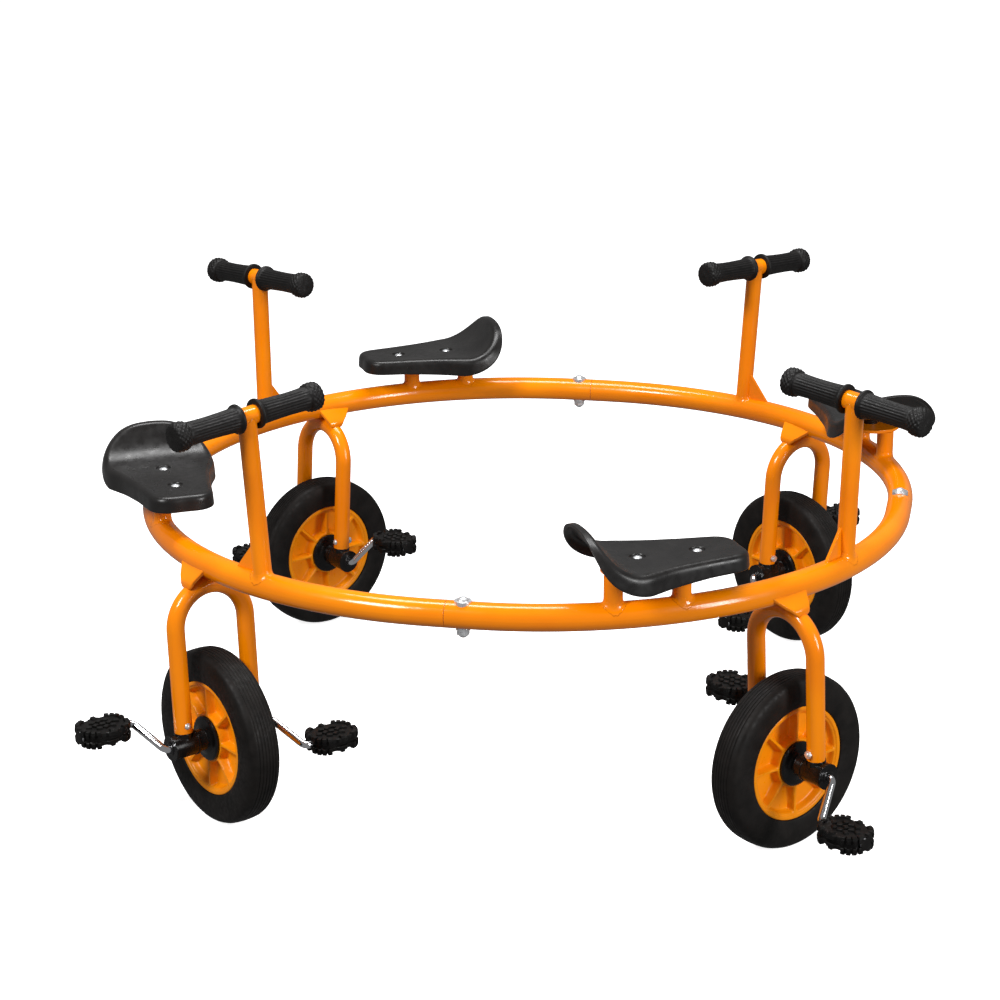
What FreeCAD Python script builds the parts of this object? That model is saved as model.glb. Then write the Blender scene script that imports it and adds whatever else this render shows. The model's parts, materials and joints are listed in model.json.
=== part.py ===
import FreeCAD, Part
import math
import os

# Pedal merry-go-round for four children: a bolted steel ring carries four
# seats, four handlebars and four forks, and each fork holds a pedalled wheel.
# Millimetres, +Z up, origin on the floor under the middle of the ring.
# The wheels stand on the row axes: wheel 0 on -Y, 1 on +X, 2 on +Y, 3 on -X,
# and the riders travel counter-clockwise seen from above.

STATIONS = 4
STATION_STEP_DEG = 360.0 / STATIONS
FIRST_STATION_DEG = -90.0

# Ring of round tube, bolted together from quarters. Each quarter is a bend with a
# short straight run at both ends, so the ring is a circle eased flat at its seams.
RING_HALF_SPAN = 604.4
RING_STRAIGHT = 28.0
RING_BEND_RADIUS = RING_HALF_SPAN - RING_STRAIGHT
BEND_CENTRE_REACH = RING_STRAIGHT * math.sqrt(2.0)
QUARTER_HALF_DEG = 45.0
RING_HEIGHT = 414.0
RING_TUBE_RADIUS = 20.2
RING_WALL = 2.0
SEAM_HALF_GAP = 0.35
SEAM_DEG = -50.25
QUARTER_MIDDLE_DEG = SEAM_DEG + QUARTER_HALF_DEG
SLEEVE_RADIUS = 18.0
SLEEVE_WALL = 2.6
SLEEVE_HALF_LENGTH = 42.0
RING_BOLT_OFFSET = 24.5
RING_BOLT_RADIUS = 5.0
BOLT_HOLE_CLEARANCE = 0.4
SADDLE_WASHER_RADIUS = 12.5
SADDLE_TOP_RISE = 2.0
SADDLE_SHOULDER = 0.72
RING_BOLT_HEAD_RADIUS = 9.0
RING_BOLT_HEAD_HEIGHT = 5.5
RING_SOCKET_FLATS = 5.5
RING_SOCKET_DEPTH = 2.4
LOWER_WASHER_RADIUS = 10.5
RING_NUT_FLATS = 17.0
RING_NUT_HEIGHT = 7.0
RING_NUT_DOME_RADIUS = 7.6
RING_NUT_DOME_RISE = 5.3

# Smaller round tube for posts, crossbars and seat stubs
SMALL_TUBE_RADIUS = 14.0
SMALL_TUBE_WALL = 2.0

# Wheel: plane of the wheel's middle at WHEEL_CIRCLE from the centre
WHEEL_CIRCLE = 615.0
TYRE_RADIUS = 138.0
TYRE_HALF_WIDTH = 27.5
TYRE_SIDE_LOW = 108.0
TYRE_SIDE_HIGH = 121.0
TYRE_SHOULDER = (24.8, 131.2)
TYRE_CROWN = (16.5, 136.4)
TYRE_RIM_GAP = 0.2
AXLE_HEIGHT = TYRE_RADIUS
TYRE_SEAT_RADIUS = 87.0
RIM_LIP_RADIUS = 90.0
RIM_SEAT_HALF_WIDTH = 21.0
RIM_HALF_WIDTH = 23.5
RIM_LIP_BEVEL = 1.5
TREAD_GROOVES = (-13.0, -4.3, 4.3, 13.0)
TREAD_GROOVE_WIDTH = 1.6
TREAD_GROOVE_DEPTH = 1.6
RIM_RIBS = 8
RIM_RIB_FACE = 4.0
RIM_RIB_ROOT = 11.0
RIM_RIB_ROOT_AT = 3.0
RIM_POCKET_INNER = 38.0
RIM_POCKET_OUTER = 81.0
RIM_POCKET_OUTER_DEPTH = 10.0
RIM_POCKET_INNER_DEPTH = 15.0
RIM_POCKET_DRAFT = (5.0, 3.0)
HUB_FLANGE_RADIUS = 35.0
HUB_FLANGE_STEPS = ((0.0, 0.0), (3.5, 0.0), (5.5, -3.0), (6.8, -10.5), (9.5, -17.5))
HUB_BOSS_RADIUS = 15.5
HUB_BOSS_END = 41.5
HUB_BOSS_BEVEL = 1.0

# Crank axle: one bent rod through hub and bearings, with a pedal pin each end
ROD_RADIUS = 6.0
ROD_RIM_GAP = 0.2
RUNNING_GAP = 0.05
CRANK_RADIUS = 67.0
CRANK_BEND_RADIUS = 12.0
ARM_START = 96.0
ARM_END = 118.0
ROD_END = 207.0
LUG_START = 22.0
LUG_END = 29.5
LUG_HALF_LENGTH = 10.0
LUG_HALF_THICKNESS = 2.0
LUG_GAP = 0.2
# Direction of each outer crank at rest: 0 = travel direction, 90 = up
CRANK_ANGLES_DEG = (228.0, 44.0, 313.0, 152.0)

# Pedals: oblong blocks with a groove round the edge and treads on both faces
PEDAL_START = 127.0
PEDAL_END = 210.0
PEDAL_LENGTH = PEDAL_END - PEDAL_START
PEDAL_HALF_WIDTH = 33.0
PEDAL_HALF_THICKNESS = 14.0
PEDAL_CORNER_RADIUS = 27.0
PEDAL_GROOVE_HEIGHT = 6.0
PEDAL_GROOVE_DEPTH = 5.0
PEDAL_SLOT_WIDTH = 4.0
PEDAL_SLOT_DEPTH = 3.5
PEDAL_SLOTS_ALONG = (-PEDAL_LENGTH / 4, 0.0, PEDAL_LENGTH / 4)
PEDAL_SLOTS_ACROSS = (-PEDAL_HALF_WIDTH / 3, PEDAL_HALF_WIDTH / 3)
PEDAL_RECESS_RADIUS = 10.0
PEDAL_RECESS_DEPTH = 5.2
RETAINER_RADIUS = 8.5
RETAINER_GAP = 0.6
RETAINER_LENGTH = 3.6
RETAINER_BORE_GAP = 0.03
RETAINER_BEVEL = 1.0

# Fork: inverted U of round tube over the wheel, raked about the axle line
FORK_TUBE_RADIUS = 14.0
FORK_WALL = 1.8
FORK_HALF_SPAN = 62.0
FORK_LEG_START = 21.0
FORK_ARCH_BASE = 181.0
FORK_RAKE_DEG = 3.3

# Gusset: slanted plate from the ring's side down onto the shoulder of the arch
FORK_GUSSET_THICKNESS = 6.0
FORK_GUSSET_PROUD = 2.0
FORK_GUSSET_SLOPE_DEG = 47.6
FORK_GUSSET_TOP = (-52.0, 30.0)
FORK_GUSSET_FOOT = (-14.0, 14.0)
FORK_GUSSET_LENGTH = 70.0

# Bearing block: barrel along the axle with a stem plugged into the fork leg
BLOCK_RADIUS = 20.0
BLOCK_START = 43.5
BLOCK_END = 87.0
BLOCK_BEAD_RISE = 1.0
BLOCK_OUTER_BEAD = 4.0
BLOCK_INNER_BEAD = 3.0
BLOCK_COLLAR_RADIUS = 15.0
BLOCK_STEM_RADIUS = 12.1
BLOCK_STEM_TOP = 52.0
BUSH_RADIUS = 9.0
BUSH_FIT_GAP = 0.03
FORK_BOLT_RADIUS = 3.0
FORK_BOLT_CLEARANCE = 0.25
FORK_BOLT_RISE = 33.0
FORK_BOLT_HEAD_RADIUS = 5.2
FORK_BOLT_HEAD_HEIGHT = 3.4
FORK_BOLT_TIP = 1.0
FORK_NUT_FLATS = 10.0
FORK_NUT_HEIGHT = 5.0

# Handlebar: leaning post with a crossbar square to it and two ribbed grips
POST_DEG = 11.5
POST_RISE = 260.5
POST_LEAN_OUT_DEG = 2.9
POST_LEAN_BACK_DEG = 2.1
CROSSBAR_HALF_LENGTH = 123.5
CROSSBAR_YAW_DEG = -7.0
CROSSBAR_END_GAP = 0.2
GRIP_START = 15.0
GRIP_FLANGE_END = 21.0
GRIP_FLANGE_CONE = 3.0
GRIP_KNOB_START = 116.0
GRIP_KNOB_CONE = 3.0
GRIP_END = 132.5
GRIP_END_BEVEL = 5.0
GRIP_BODY_RADIUS = 18.0
GRIP_FLANGE_RADIUS = 24.0
GRIP_KNOB_RADIUS = 23.0
GRIP_BORE_GAP = 0.05
POST_GUSSET_REACH = 38.0
POST_GUSSET_RISE = 46.0
POST_GUSSET_THICKNESS = 5.0
POST_GUSSET_TIP = 1.0

# Seat: moulded shell on a steel plate, the plate on two stubs
SEAT_DEG = -19.65
SEAT_CIRCLE = 598.0
SEAT_BOTTOM = 472.0
SEAT_TOP = 497.5
SEAT_BACK_TOP = 544.0
SEAT_FRONT = 108.0
SEAT_CURVE_START = -56.0
SEAT_REAR = -156.0
SEAT_HALF_WIDTH = 92.0
STUB_OFFSETS = (-86.0, 16.0)
SEAT_BOLT_OFFSETS = (-46.0, 46.0)
PLATE_BOTTOM = 474.0
PLATE_THICKNESS = 5.0
PLATE_REAR = -100.0
PLATE_FRONT = 66.0
PLATE_REAR_HALF_WIDTH = 46.0
PLATE_FRONT_HALF_WIDTH = 36.0
PLATE_CORNER_RADIUS = 12.0
POCKET_MARGIN = 1.5
SEAT_BOLT_RADIUS = 4.0
SEAT_BOLT_TIP = 2.0
SEAT_BOLT_HEAD_RADIUS = 8.0
SEAT_BOLT_HEAD_HEIGHT = 4.2
SEAT_SOCKET_FLATS = 5.0
SEAT_SOCKET_DEPTH = 2.0
SEAT_RECESS_RADIUS = 11.5
SEAT_RECESS_DEPTH = 5.0
SEAT_NUT_FLATS = 13.0
SEAT_NUT_HEIGHT = 8.0

# Overshoot of cutting tools past the faces they cut
OVERSHOOT = 10.0

X_AXIS = FreeCAD.Vector(1, 0, 0)
Y_AXIS = FreeCAD.Vector(0, 1, 0)
Z_AXIS = FreeCAD.Vector(0, 0, 1)
ORIGIN = FreeCAD.Vector(0, 0, 0)
WHEEL_CENTRE = FreeCAD.Vector(WHEEL_CIRCLE, 0, AXLE_HEIGHT)


def point(x, y, z):
    return FreeCAD.Vector(x, y, z)


def cylinder(radius, start, end):
    along = end - start
    return Part.makeCylinder(radius, along.Length, start, along)


def box(low, high):
    size = high - low
    return Part.makeBox(size.x, size.y, size.z, low)


def tube(radius, wall, start, end):
    return cylinder(radius, start, end).cut(cylinder(radius - wall, start, end))


def merge(solids):
    whole = solids[0]
    for solid in solids[1:]:
        whole = whole.fuse(solid)
    return whole.removeSplitter()


def cut_all(shape, tools):
    for tool in tools:
        shape = shape.cut(tool)
    return shape


def turned(shape, degrees, axis=Z_AXIS, centre=ORIGIN):
    copy = shape.copy()
    copy.rotate(centre, axis, degrees)
    return copy


def moved(shape, offset):
    copy = shape.copy()
    copy.translate(offset)
    return copy


def at_station(shape, index):
    return turned(shape, FIRST_STATION_DEG + STATION_STEP_DEG * index)


def at_all_stations(solids):
    return [at_station(solid, k) for k in range(STATIONS) for solid in solids]


def export(name, solids):
    shape = solids[0] if len(solids) == 1 else Part.makeCompound(solids)
    shape.exportStep(os.path.join("parts", name + ".step"))


def outline(start, steps):
    """Closed face from a start point and steps of (end,) or (middle, end)."""
    edges = []
    here = start
    for step in steps + [(start,)]:
        end = step[-1]
        if len(step) == 1:
            edges.append(Part.LineSegment(here, end).toShape())
        else:
            edges.append(Part.Arc(here, step[0], end).toShape())
        here = end
    return Part.Face(Part.Wire(edges))


def polygon(points):
    return outline(points[0], [(corner,) for corner in points[1:]])


def spline(points):
    curve = Part.BSplineCurve()
    curve.interpolate(points)
    return curve.toShape()


def axle_turned(points):
    """Revolve an outline of (distance along the axle, radius) about X."""
    face = polygon([point(along, 0, radius) for along, radius in points])
    return face.revolve(ORIGIN, X_AXIS, 360)


def hexagon(flats, height, base):
    corner = flats / math.sqrt(3.0)
    corners = []
    for side in range(6):
        angle = math.radians(60 * side)
        corners.append(point(corner * math.cos(angle), corner * math.sin(angle), base))
    return polygon(corners).extrude(Z_AXIS * height)


def dome(radius, height, base):
    """Round head: a spherical cap of the given base radius and height."""
    ball_radius = (radius * radius + height * height) / (2.0 * height)
    ball = Part.makeSphere(ball_radius, point(0, 0, base + height - ball_radius))
    return ball.common(Part.makeCylinder(radius, height, point(0, 0, base)))


def ring_bend(radius, start_deg, end_deg):
    """Stretch of a quarter's bend; angles run from the quarter's middle on +X."""
    bend_centre = point(BEND_CENTRE_REACH, 0, 0)
    section_centre = point(BEND_CENTRE_REACH + RING_BEND_RADIUS, 0, RING_HEIGHT)
    disc = Part.Face(Part.Wire(Part.makeCircle(radius, section_centre, Y_AXIS)))
    disc = turned(disc, start_deg, Z_AXIS, bend_centre)
    return disc.revolve(bend_centre, Z_AXIS, end_deg - start_deg)


def ring_end(radius, side, length):
    """Straight run of a quarter from its bend towards the seam on one side."""
    angle = math.radians(side * QUARTER_HALF_DEG)
    start = point(
        BEND_CENTRE_REACH + RING_BEND_RADIUS * math.cos(angle),
        RING_BEND_RADIUS * math.sin(angle),
        RING_HEIGHT,
    )
    onward = point(-math.sin(angle), math.cos(angle), 0) * side * length
    return cylinder(radius, start, start + onward)


def ring_quarter(radius, seam_gap):
    """Solid quarter of the ring, each end short of its seam by the gap."""
    length = RING_STRAIGHT - seam_gap
    bend = ring_bend(radius, -QUARTER_HALF_DEG, QUARTER_HALF_DEG)
    quarter = merge([ring_end(radius, -1, length), bend, ring_end(radius, 1, length)])
    return turned(quarter, QUARTER_MIDDLE_DEG)


def ring_envelope():
    """Solid quarter that shapes what is welded or clamped onto the ring."""
    return ring_quarter(RING_TUBE_RADIUS, 0.0)


def ring_reach(degrees):
    """Distance of the ring's centreline from the middle, at a direction."""
    angle = math.radians(degrees - QUARTER_MIDDLE_DEG)
    across = BEND_CENTRE_REACH * math.sin(angle)
    return BEND_CENTRE_REACH * math.cos(angle) + math.sqrt(RING_BEND_RADIUS ** 2 - across ** 2)


def at_ring_bolt(shape):
    """Move a shape modelled on the Z axis to the first ring bolt."""
    return turned(moved(shape, point(RING_HALF_SPAN, RING_BOLT_OFFSET, RING_HEIGHT)), SEAM_DEG)


# ---------------------------------------------------------------- ring

def ring_bolt_hole():
    reach = 2.0 * RING_TUBE_RADIUS
    radius = RING_BOLT_RADIUS + BOLT_HOLE_CLEARANCE
    return at_ring_bolt(cylinder(radius, point(0, 0, -reach), point(0, 0, reach)))


def make_ring_tube():
    bore = ring_quarter(RING_TUBE_RADIUS - RING_WALL, 0.0)
    return ring_quarter(RING_TUBE_RADIUS, SEAM_HALF_GAP).cut(bore).cut(ring_bolt_hole())


def sleeve_solid(radius):
    """Plug across a seam: two straight runs and the start of both bends."""
    bend_deg = math.degrees((SLEEVE_HALF_LENGTH - RING_STRAIGHT) / RING_BEND_RADIUS)
    after = [
        ring_end(radius, -1, RING_STRAIGHT),
        ring_bend(radius, -QUARTER_HALF_DEG, -QUARTER_HALF_DEG + bend_deg),
    ]
    before = [
        ring_end(radius, 1, RING_STRAIGHT),
        ring_bend(radius, QUARTER_HALF_DEG - bend_deg, QUARTER_HALF_DEG),
    ]
    before = [turned(solid, -STATION_STEP_DEG) for solid in before]
    return turned(merge(after + before), QUARTER_MIDDLE_DEG)


def make_ring_sleeve():
    sleeve = sleeve_solid(SLEEVE_RADIUS).cut(sleeve_solid(SLEEVE_RADIUS - SLEEVE_WALL))
    return sleeve.cut(ring_bolt_hole())


def make_ring_fasteners():
    """Bolt, its two saddle washers and the domed cap nut under the ring."""
    top = RING_TUBE_RADIUS + SADDLE_TOP_RISE
    bottom = -top
    hole_radius = RING_BOLT_RADIUS + BOLT_HOLE_CLEARANCE
    hole = cylinder(hole_radius, point(0, 0, bottom), point(0, 0, top))
    envelope = ring_envelope()
    shoulder = RING_TUBE_RADIUS * SADDLE_SHOULDER
    washers = []
    for radius, low, high in (
        (SADDLE_WASHER_RADIUS, shoulder, top),
        (LOWER_WASHER_RADIUS, bottom, -shoulder),
    ):
        blank = cylinder(radius, point(0, 0, low), point(0, 0, high)).cut(hole)
        washers.append(at_ring_bolt(blank).cut(envelope))
    nut_base = bottom - RING_NUT_HEIGHT
    shank = cylinder(RING_BOLT_RADIUS, point(0, 0, nut_base), point(0, 0, top))
    head = dome(RING_BOLT_HEAD_RADIUS, RING_BOLT_HEAD_HEIGHT, top)
    socket_floor = top + RING_BOLT_HEAD_HEIGHT - RING_SOCKET_DEPTH
    socket = hexagon(RING_SOCKET_FLATS, OVERSHOOT, socket_floor)
    bolt = merge([shank, head]).cut(socket)
    cap = dome(RING_NUT_DOME_RADIUS, RING_NUT_DOME_RISE, 0)
    cap = moved(turned(cap, 180, X_AXIS), point(0, 0, nut_base))
    nut = merge([hexagon(RING_NUT_FLATS, RING_NUT_HEIGHT, nut_base), cap])
    nut = nut.cut(shank)
    return at_ring_bolt(bolt), washers, at_ring_bolt(nut)


# ---------------------------------------------------------------- fork

def fork_path_solid(radius):
    """Inverted U about the wheel centre, before the rake."""
    legs = []
    for side in (-1, 1):
        foot = point(side * FORK_HALF_SPAN, 0, FORK_LEG_START)
        shoulder = point(side * FORK_HALF_SPAN, 0, FORK_ARCH_BASE)
        legs.append(cylinder(radius, foot, shoulder))
    centre = point(FORK_HALF_SPAN, 0, FORK_ARCH_BASE)
    disc = Part.Face(Part.Wire(Part.makeCircle(radius, centre, Z_AXIS)))
    arch = disc.revolve(point(0, 0, FORK_ARCH_BASE), point(0, -1, 0), 180)
    return merge([arch] + legs)


def raked(shape):
    """Rake a shape modelled about the wheel centre and set it in place."""
    return moved(turned(shape, FORK_RAKE_DEG, X_AXIS), WHEEL_CENTRE)


def fork_bolt_hole(side):
    reach = FORK_TUBE_RADIUS + OVERSHOOT
    radius = FORK_BOLT_RADIUS + FORK_BOLT_CLEARANCE
    x = side * FORK_HALF_SPAN
    return cylinder(radius, point(x, -reach, FORK_BOLT_RISE), point(x, reach, FORK_BOLT_RISE))


def make_fork():
    shell = fork_path_solid(FORK_TUBE_RADIUS).cut(fork_path_solid(FORK_TUBE_RADIUS - FORK_WALL))
    shell = cut_all(shell, [fork_bolt_hole(-1), fork_bolt_hole(1)])
    return raked(shell).cut(ring_envelope())


def make_fork_gusset(side):
    """Trapezium whose long edge is on the ring and whose foot lies on the arch.

    It is drawn flat about the arch's middle, at the tube's outer radius, with
    its foot at x = 0, and is then tipped onto the arch's shoulder.
    """
    top = FORK_HALF_SPAN + FORK_TUBE_RADIUS + FORK_GUSSET_PROUD
    low = top - FORK_GUSSET_THICKNESS
    face = polygon([
        point(0, FORK_GUSSET_FOOT[0], low),
        point(0, FORK_GUSSET_FOOT[1], low),
        point(-FORK_GUSSET_LENGTH, FORK_GUSSET_TOP[1], low),
        point(-FORK_GUSSET_LENGTH, FORK_GUSSET_TOP[0], low),
    ])
    plate = face.extrude(Z_AXIS * FORK_GUSSET_THICKNESS)
    plate = turned(plate, FORK_GUSSET_SLOPE_DEG, Y_AXIS)
    if side < 0:
        plate = plate.mirror(ORIGIN, X_AXIS)
    plate = raked(moved(plate, point(0, 0, FORK_ARCH_BASE)))
    plate = plate.cut(raked(fork_path_solid(FORK_TUBE_RADIUS))).cut(ring_envelope())
    wheel_side = WHEEL_CENTRE + X_AXIS * (side * FORK_HALF_SPAN)
    return min(plate.Solids, key=lambda solid: abs(solid.CenterOfMass.x - wheel_side.x))


def make_bearing_block(side):
    """Barrel on the axle line, collar under the leg and stem inside the leg."""
    start = point(side * BLOCK_START, 0, 0)
    end = point(side * BLOCK_END, 0, 0)
    outer_bead_start = point(side * (BLOCK_END - BLOCK_OUTER_BEAD), 0, 0)
    inner_bead_end = point(side * (BLOCK_START + BLOCK_INNER_BEAD), 0, 0)
    leg_foot = point(side * FORK_HALF_SPAN, 0, 0)
    block = merge([
        cylinder(BLOCK_RADIUS - BLOCK_BEAD_RISE, start, end),
        cylinder(BLOCK_RADIUS, outer_bead_start, end),
        cylinder(BLOCK_RADIUS, start, inner_bead_end),
        cylinder(BLOCK_COLLAR_RADIUS, leg_foot, leg_foot + Z_AXIS * FORK_LEG_START),
        cylinder(BLOCK_STEM_RADIUS, leg_foot, leg_foot + Z_AXIS * BLOCK_STEM_TOP),
    ])
    bore = cylinder(BUSH_RADIUS + BUSH_FIT_GAP, start, end)
    return raked(cut_all(block, [bore, fork_bolt_hole(side)]))


def make_bearing_bush(side):
    start = point(side * BLOCK_START, 0, 0)
    end = point(side * BLOCK_END, 0, 0)
    bush = cylinder(BUSH_RADIUS, start, end)
    bush = bush.cut(cylinder(ROD_RADIUS + RUNNING_GAP, start, end))
    return raked(bush)


def make_fork_fasteners(side):
    """Cross bolt through leg and stem, head in front and nut behind."""
    x = side * FORK_HALF_SPAN
    face_y = FORK_TUBE_RADIUS
    tip_y = -(face_y + FORK_NUT_HEIGHT + FORK_BOLT_TIP)
    shank = Part.makeCylinder(FORK_BOLT_RADIUS, face_y - tip_y, point(0, 0, tip_y))
    head = dome(FORK_BOLT_HEAD_RADIUS, FORK_BOLT_HEAD_HEIGHT, face_y)
    bolt = merge([shank, head])
    nut = hexagon(FORK_NUT_FLATS, FORK_NUT_HEIGHT, -face_y - FORK_NUT_HEIGHT)
    nut = nut.cut(shank)
    place = point(x, 0, FORK_BOLT_RISE)
    return [raked(moved(turned(solid, -90, X_AXIS), place)) for solid in (bolt, nut)]


# ---------------------------------------------------------------- handlebar

def post_direction():
    out = math.tan(math.radians(POST_LEAN_OUT_DEG))
    back = math.tan(math.radians(POST_LEAN_BACK_DEG))
    return point(out, -back, 1.0)


def post_base():
    return point(ring_reach(POST_DEG), 0, RING_HEIGHT)


def crossbar_centre():
    return post_base() + post_direction() * POST_RISE


def crossbar_direction():
    """Level but for the post's outward lean, so the bar stays square to it."""
    yaw = math.radians(CROSSBAR_YAW_DEG)
    drop = math.tan(math.radians(POST_LEAN_OUT_DEG))
    return point(math.cos(yaw), math.sin(yaw), -drop).normalize()


def at_post(shape):
    return turned(shape, POST_DEG)


def crossbar_solid(radius):
    reach = crossbar_direction() * CROSSBAR_HALF_LENGTH
    return cylinder(radius, crossbar_centre() - reach, crossbar_centre() + reach)


def make_post():
    post = tube(SMALL_TUBE_RADIUS, SMALL_TUBE_WALL, post_base(), crossbar_centre())
    post = post.cut(crossbar_solid(SMALL_TUBE_RADIUS))
    post = at_post(post).cut(ring_envelope())
    return max(post.Solids, key=lambda solid: solid.Volume)


def make_crossbar():
    bore = crossbar_solid(SMALL_TUBE_RADIUS - SMALL_TUBE_WALL)
    return at_post(crossbar_solid(SMALL_TUBE_RADIUS).cut(bore))


def make_post_gusset():
    half = POST_GUSSET_THICKNESS / 2.0
    low = RING_HEIGHT
    middle = RING_HEIGHT + RING_TUBE_RADIUS
    high = middle + POST_GUSSET_RISE
    toe = -(SMALL_TUBE_RADIUS + POST_GUSSET_REACH)
    tip = -(SMALL_TUBE_RADIUS + POST_GUSSET_TIP)
    corners = ((0, low), (toe, low), (toe, middle), (tip, high), (0, high))
    face = polygon([point(post_base().x - half, y, z) for y, z in corners])
    plate = face.extrude(X_AXIS * POST_GUSSET_THICKNESS)
    plate = plate.cut(cylinder(SMALL_TUBE_RADIUS, post_base(), crossbar_centre()))
    plate = at_post(plate).cut(ring_envelope())
    return max(plate.Solids, key=lambda solid: solid.Volume)


def along_crossbar(shape, side):
    """Carry a shape modelled along +X from the origin onto one arm of the bar."""
    arm = crossbar_direction() * side
    turn = FreeCAD.Rotation(X_AXIS, arm)
    copy = shape.copy()
    copy.Placement = FreeCAD.Placement(crossbar_centre(), turn)
    return at_post(copy)


def make_grips():
    """Two grips of one pair: flange, waisted body and closed knob each."""
    bore = SMALL_TUBE_RADIUS + GRIP_BORE_GAP
    tube_end = CROSSBAR_HALF_LENGTH + CROSSBAR_END_GAP
    grip = axle_turned((
        (GRIP_START, bore),
        (GRIP_START, GRIP_FLANGE_RADIUS),
        (GRIP_FLANGE_END, GRIP_FLANGE_RADIUS),
        (GRIP_FLANGE_END + GRIP_FLANGE_CONE, GRIP_BODY_RADIUS),
        (GRIP_KNOB_START - GRIP_KNOB_CONE, GRIP_BODY_RADIUS),
        (GRIP_KNOB_START, GRIP_KNOB_RADIUS),
        (GRIP_END - GRIP_END_BEVEL, GRIP_KNOB_RADIUS),
        (GRIP_END, GRIP_KNOB_RADIUS - GRIP_END_BEVEL),
        (GRIP_END, 0),
        (tube_end, 0),
        (tube_end, bore),
    ))
    return [along_crossbar(grip, side) for side in (1, -1)]


# ---------------------------------------------------------------- seat

def at_seat(shape):
    return turned(moved(shape, point(SEAT_CIRCLE, 0, 0)), SEAT_DEG)


def seat_side_face():
    """Side view of the seat: flat pan with a back that curls up behind."""
    rear = spline([
        point(0, SEAT_REAR + 60, SEAT_BOTTOM),
        point(0, SEAT_REAR + 27, SEAT_BOTTOM + 14),
        point(0, SEAT_REAR + 7, SEAT_BOTTOM + 38),
        point(0, SEAT_REAR, SEAT_BACK_TOP - 13),
    ])
    crest = Part.Arc(
        point(0, SEAT_REAR, SEAT_BACK_TOP - 13),
        point(0, SEAT_REAR + 5, SEAT_BACK_TOP),
        point(0, SEAT_REAR + 16, SEAT_BACK_TOP - 5),
    ).toShape()
    front = spline([
        point(0, SEAT_REAR + 16, SEAT_BACK_TOP - 5),
        point(0, SEAT_REAR + 34, SEAT_TOP + 24),
        point(0, SEAT_REAR + 60, SEAT_TOP + 8),
        point(0, SEAT_CURVE_START, SEAT_TOP),
    ])
    top_start = point(0, SEAT_CURVE_START, SEAT_TOP)
    top_end = point(0, SEAT_FRONT, SEAT_TOP)
    bottom_start = point(0, SEAT_FRONT + 2, SEAT_BOTTOM)
    nose_middle = point(0, SEAT_FRONT + 11, (SEAT_TOP + SEAT_BOTTOM) / 2)
    top = Part.LineSegment(top_start, top_end).toShape()
    nose = Part.Arc(top_end, nose_middle, bottom_start).toShape()
    bottom_end = point(0, SEAT_REAR + 60, SEAT_BOTTOM)
    bottom = Part.LineSegment(bottom_start, bottom_end).toShape()
    return Part.Face(Part.Wire([rear, crest, front, top, nose, bottom]))


def seat_plan_face(z):
    """Plan of the seat: broad behind, waisted, with a square round nose."""
    broad = SEAT_HALF_WIDTH
    half = [
        (0, SEAT_REAR - 4),
        (broad - 30, SEAT_REAR + 6),
        (broad, SEAT_REAR + 42),
        (broad - 2, -72),
        (broad - 18, -18),
        (broad - 31, 36),
        (broad - 36, SEAT_FRONT - 32),
    ]
    side = [point(x, y, z) for x, y in half]
    mirrored = [point(-x, y, z) for x, y in reversed(half)]
    nose = [
        point(48, SEAT_FRONT, z),
        point(24, SEAT_FRONT + 12, z),
        point(-24, SEAT_FRONT + 12, z),
        point(-48, SEAT_FRONT, z),
    ]
    right = spline(side)
    left = spline(mirrored)
    front = spline([side[-1]] + nose + [mirrored[0]])
    return Part.Face(Part.Wire([right, front, left]))


def seat_front_face():
    """Front view of the seat: the back's crest is an arch."""
    low = SEAT_BOTTOM - OVERSHOOT
    behind = SEAT_REAR - OVERSHOOT
    side = SEAT_HALF_WIDTH + OVERSHOOT
    shoulder = SEAT_TOP + 6
    crest = SEAT_BACK_TOP + 1
    return outline(point(-side, behind, low), [
        (point(side, behind, low),),
        (point(side, behind, shoulder),),
        (point(side - 24, behind, shoulder + 24), point(36, behind, crest)),
        (point(-36, behind, crest),),
        (point(-side + 24, behind, shoulder + 24), point(-side, behind, shoulder)),
    ])


def plate_face(z, margin):
    rear = PLATE_REAR_HALF_WIDTH + margin
    front = PLATE_FRONT_HALF_WIDTH + margin
    return polygon([
        point(-rear, PLATE_REAR - margin, z),
        point(rear, PLATE_REAR - margin, z),
        point(front, PLATE_FRONT + margin, z),
        point(-front, PLATE_FRONT + margin, z),
    ])


def seat_bolt_holes():
    radius = SEAT_BOLT_RADIUS + BOLT_HOLE_CLEARANCE
    return [
        cylinder(radius, point(0, y, PLATE_BOTTOM - OVERSHOOT), point(0, y, SEAT_TOP + OVERSHOOT))
        for y in SEAT_BOLT_OFFSETS
    ]


def make_seat():
    span = 2.0 * (SEAT_HALF_WIDTH + OVERSHOOT)
    depth = SEAT_FRONT - SEAT_REAR + 4.0 * OVERSHOOT
    low = SEAT_BOTTOM - OVERSHOOT
    side = moved(seat_side_face(), X_AXIS * (-span / 2)).extrude(X_AXIS * span)
    plan = seat_plan_face(low).extrude(Z_AXIS * (SEAT_BACK_TOP - low + OVERSHOOT))
    front = seat_front_face().extrude(Y_AXIS * depth)
    seat = side.common(plan).common(front)
    roof = PLATE_BOTTOM + PLATE_THICKNESS
    pocket = plate_face(low, POCKET_MARGIN).extrude(Z_AXIS * (roof - low))
    floor = SEAT_TOP - SEAT_RECESS_DEPTH
    top = SEAT_TOP + OVERSHOOT
    recesses = [
        cylinder(SEAT_RECESS_RADIUS, point(0, y, floor), point(0, y, top))
        for y in SEAT_BOLT_OFFSETS
    ]
    return at_seat(cut_all(seat, [pocket] + recesses + seat_bolt_holes()))


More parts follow.
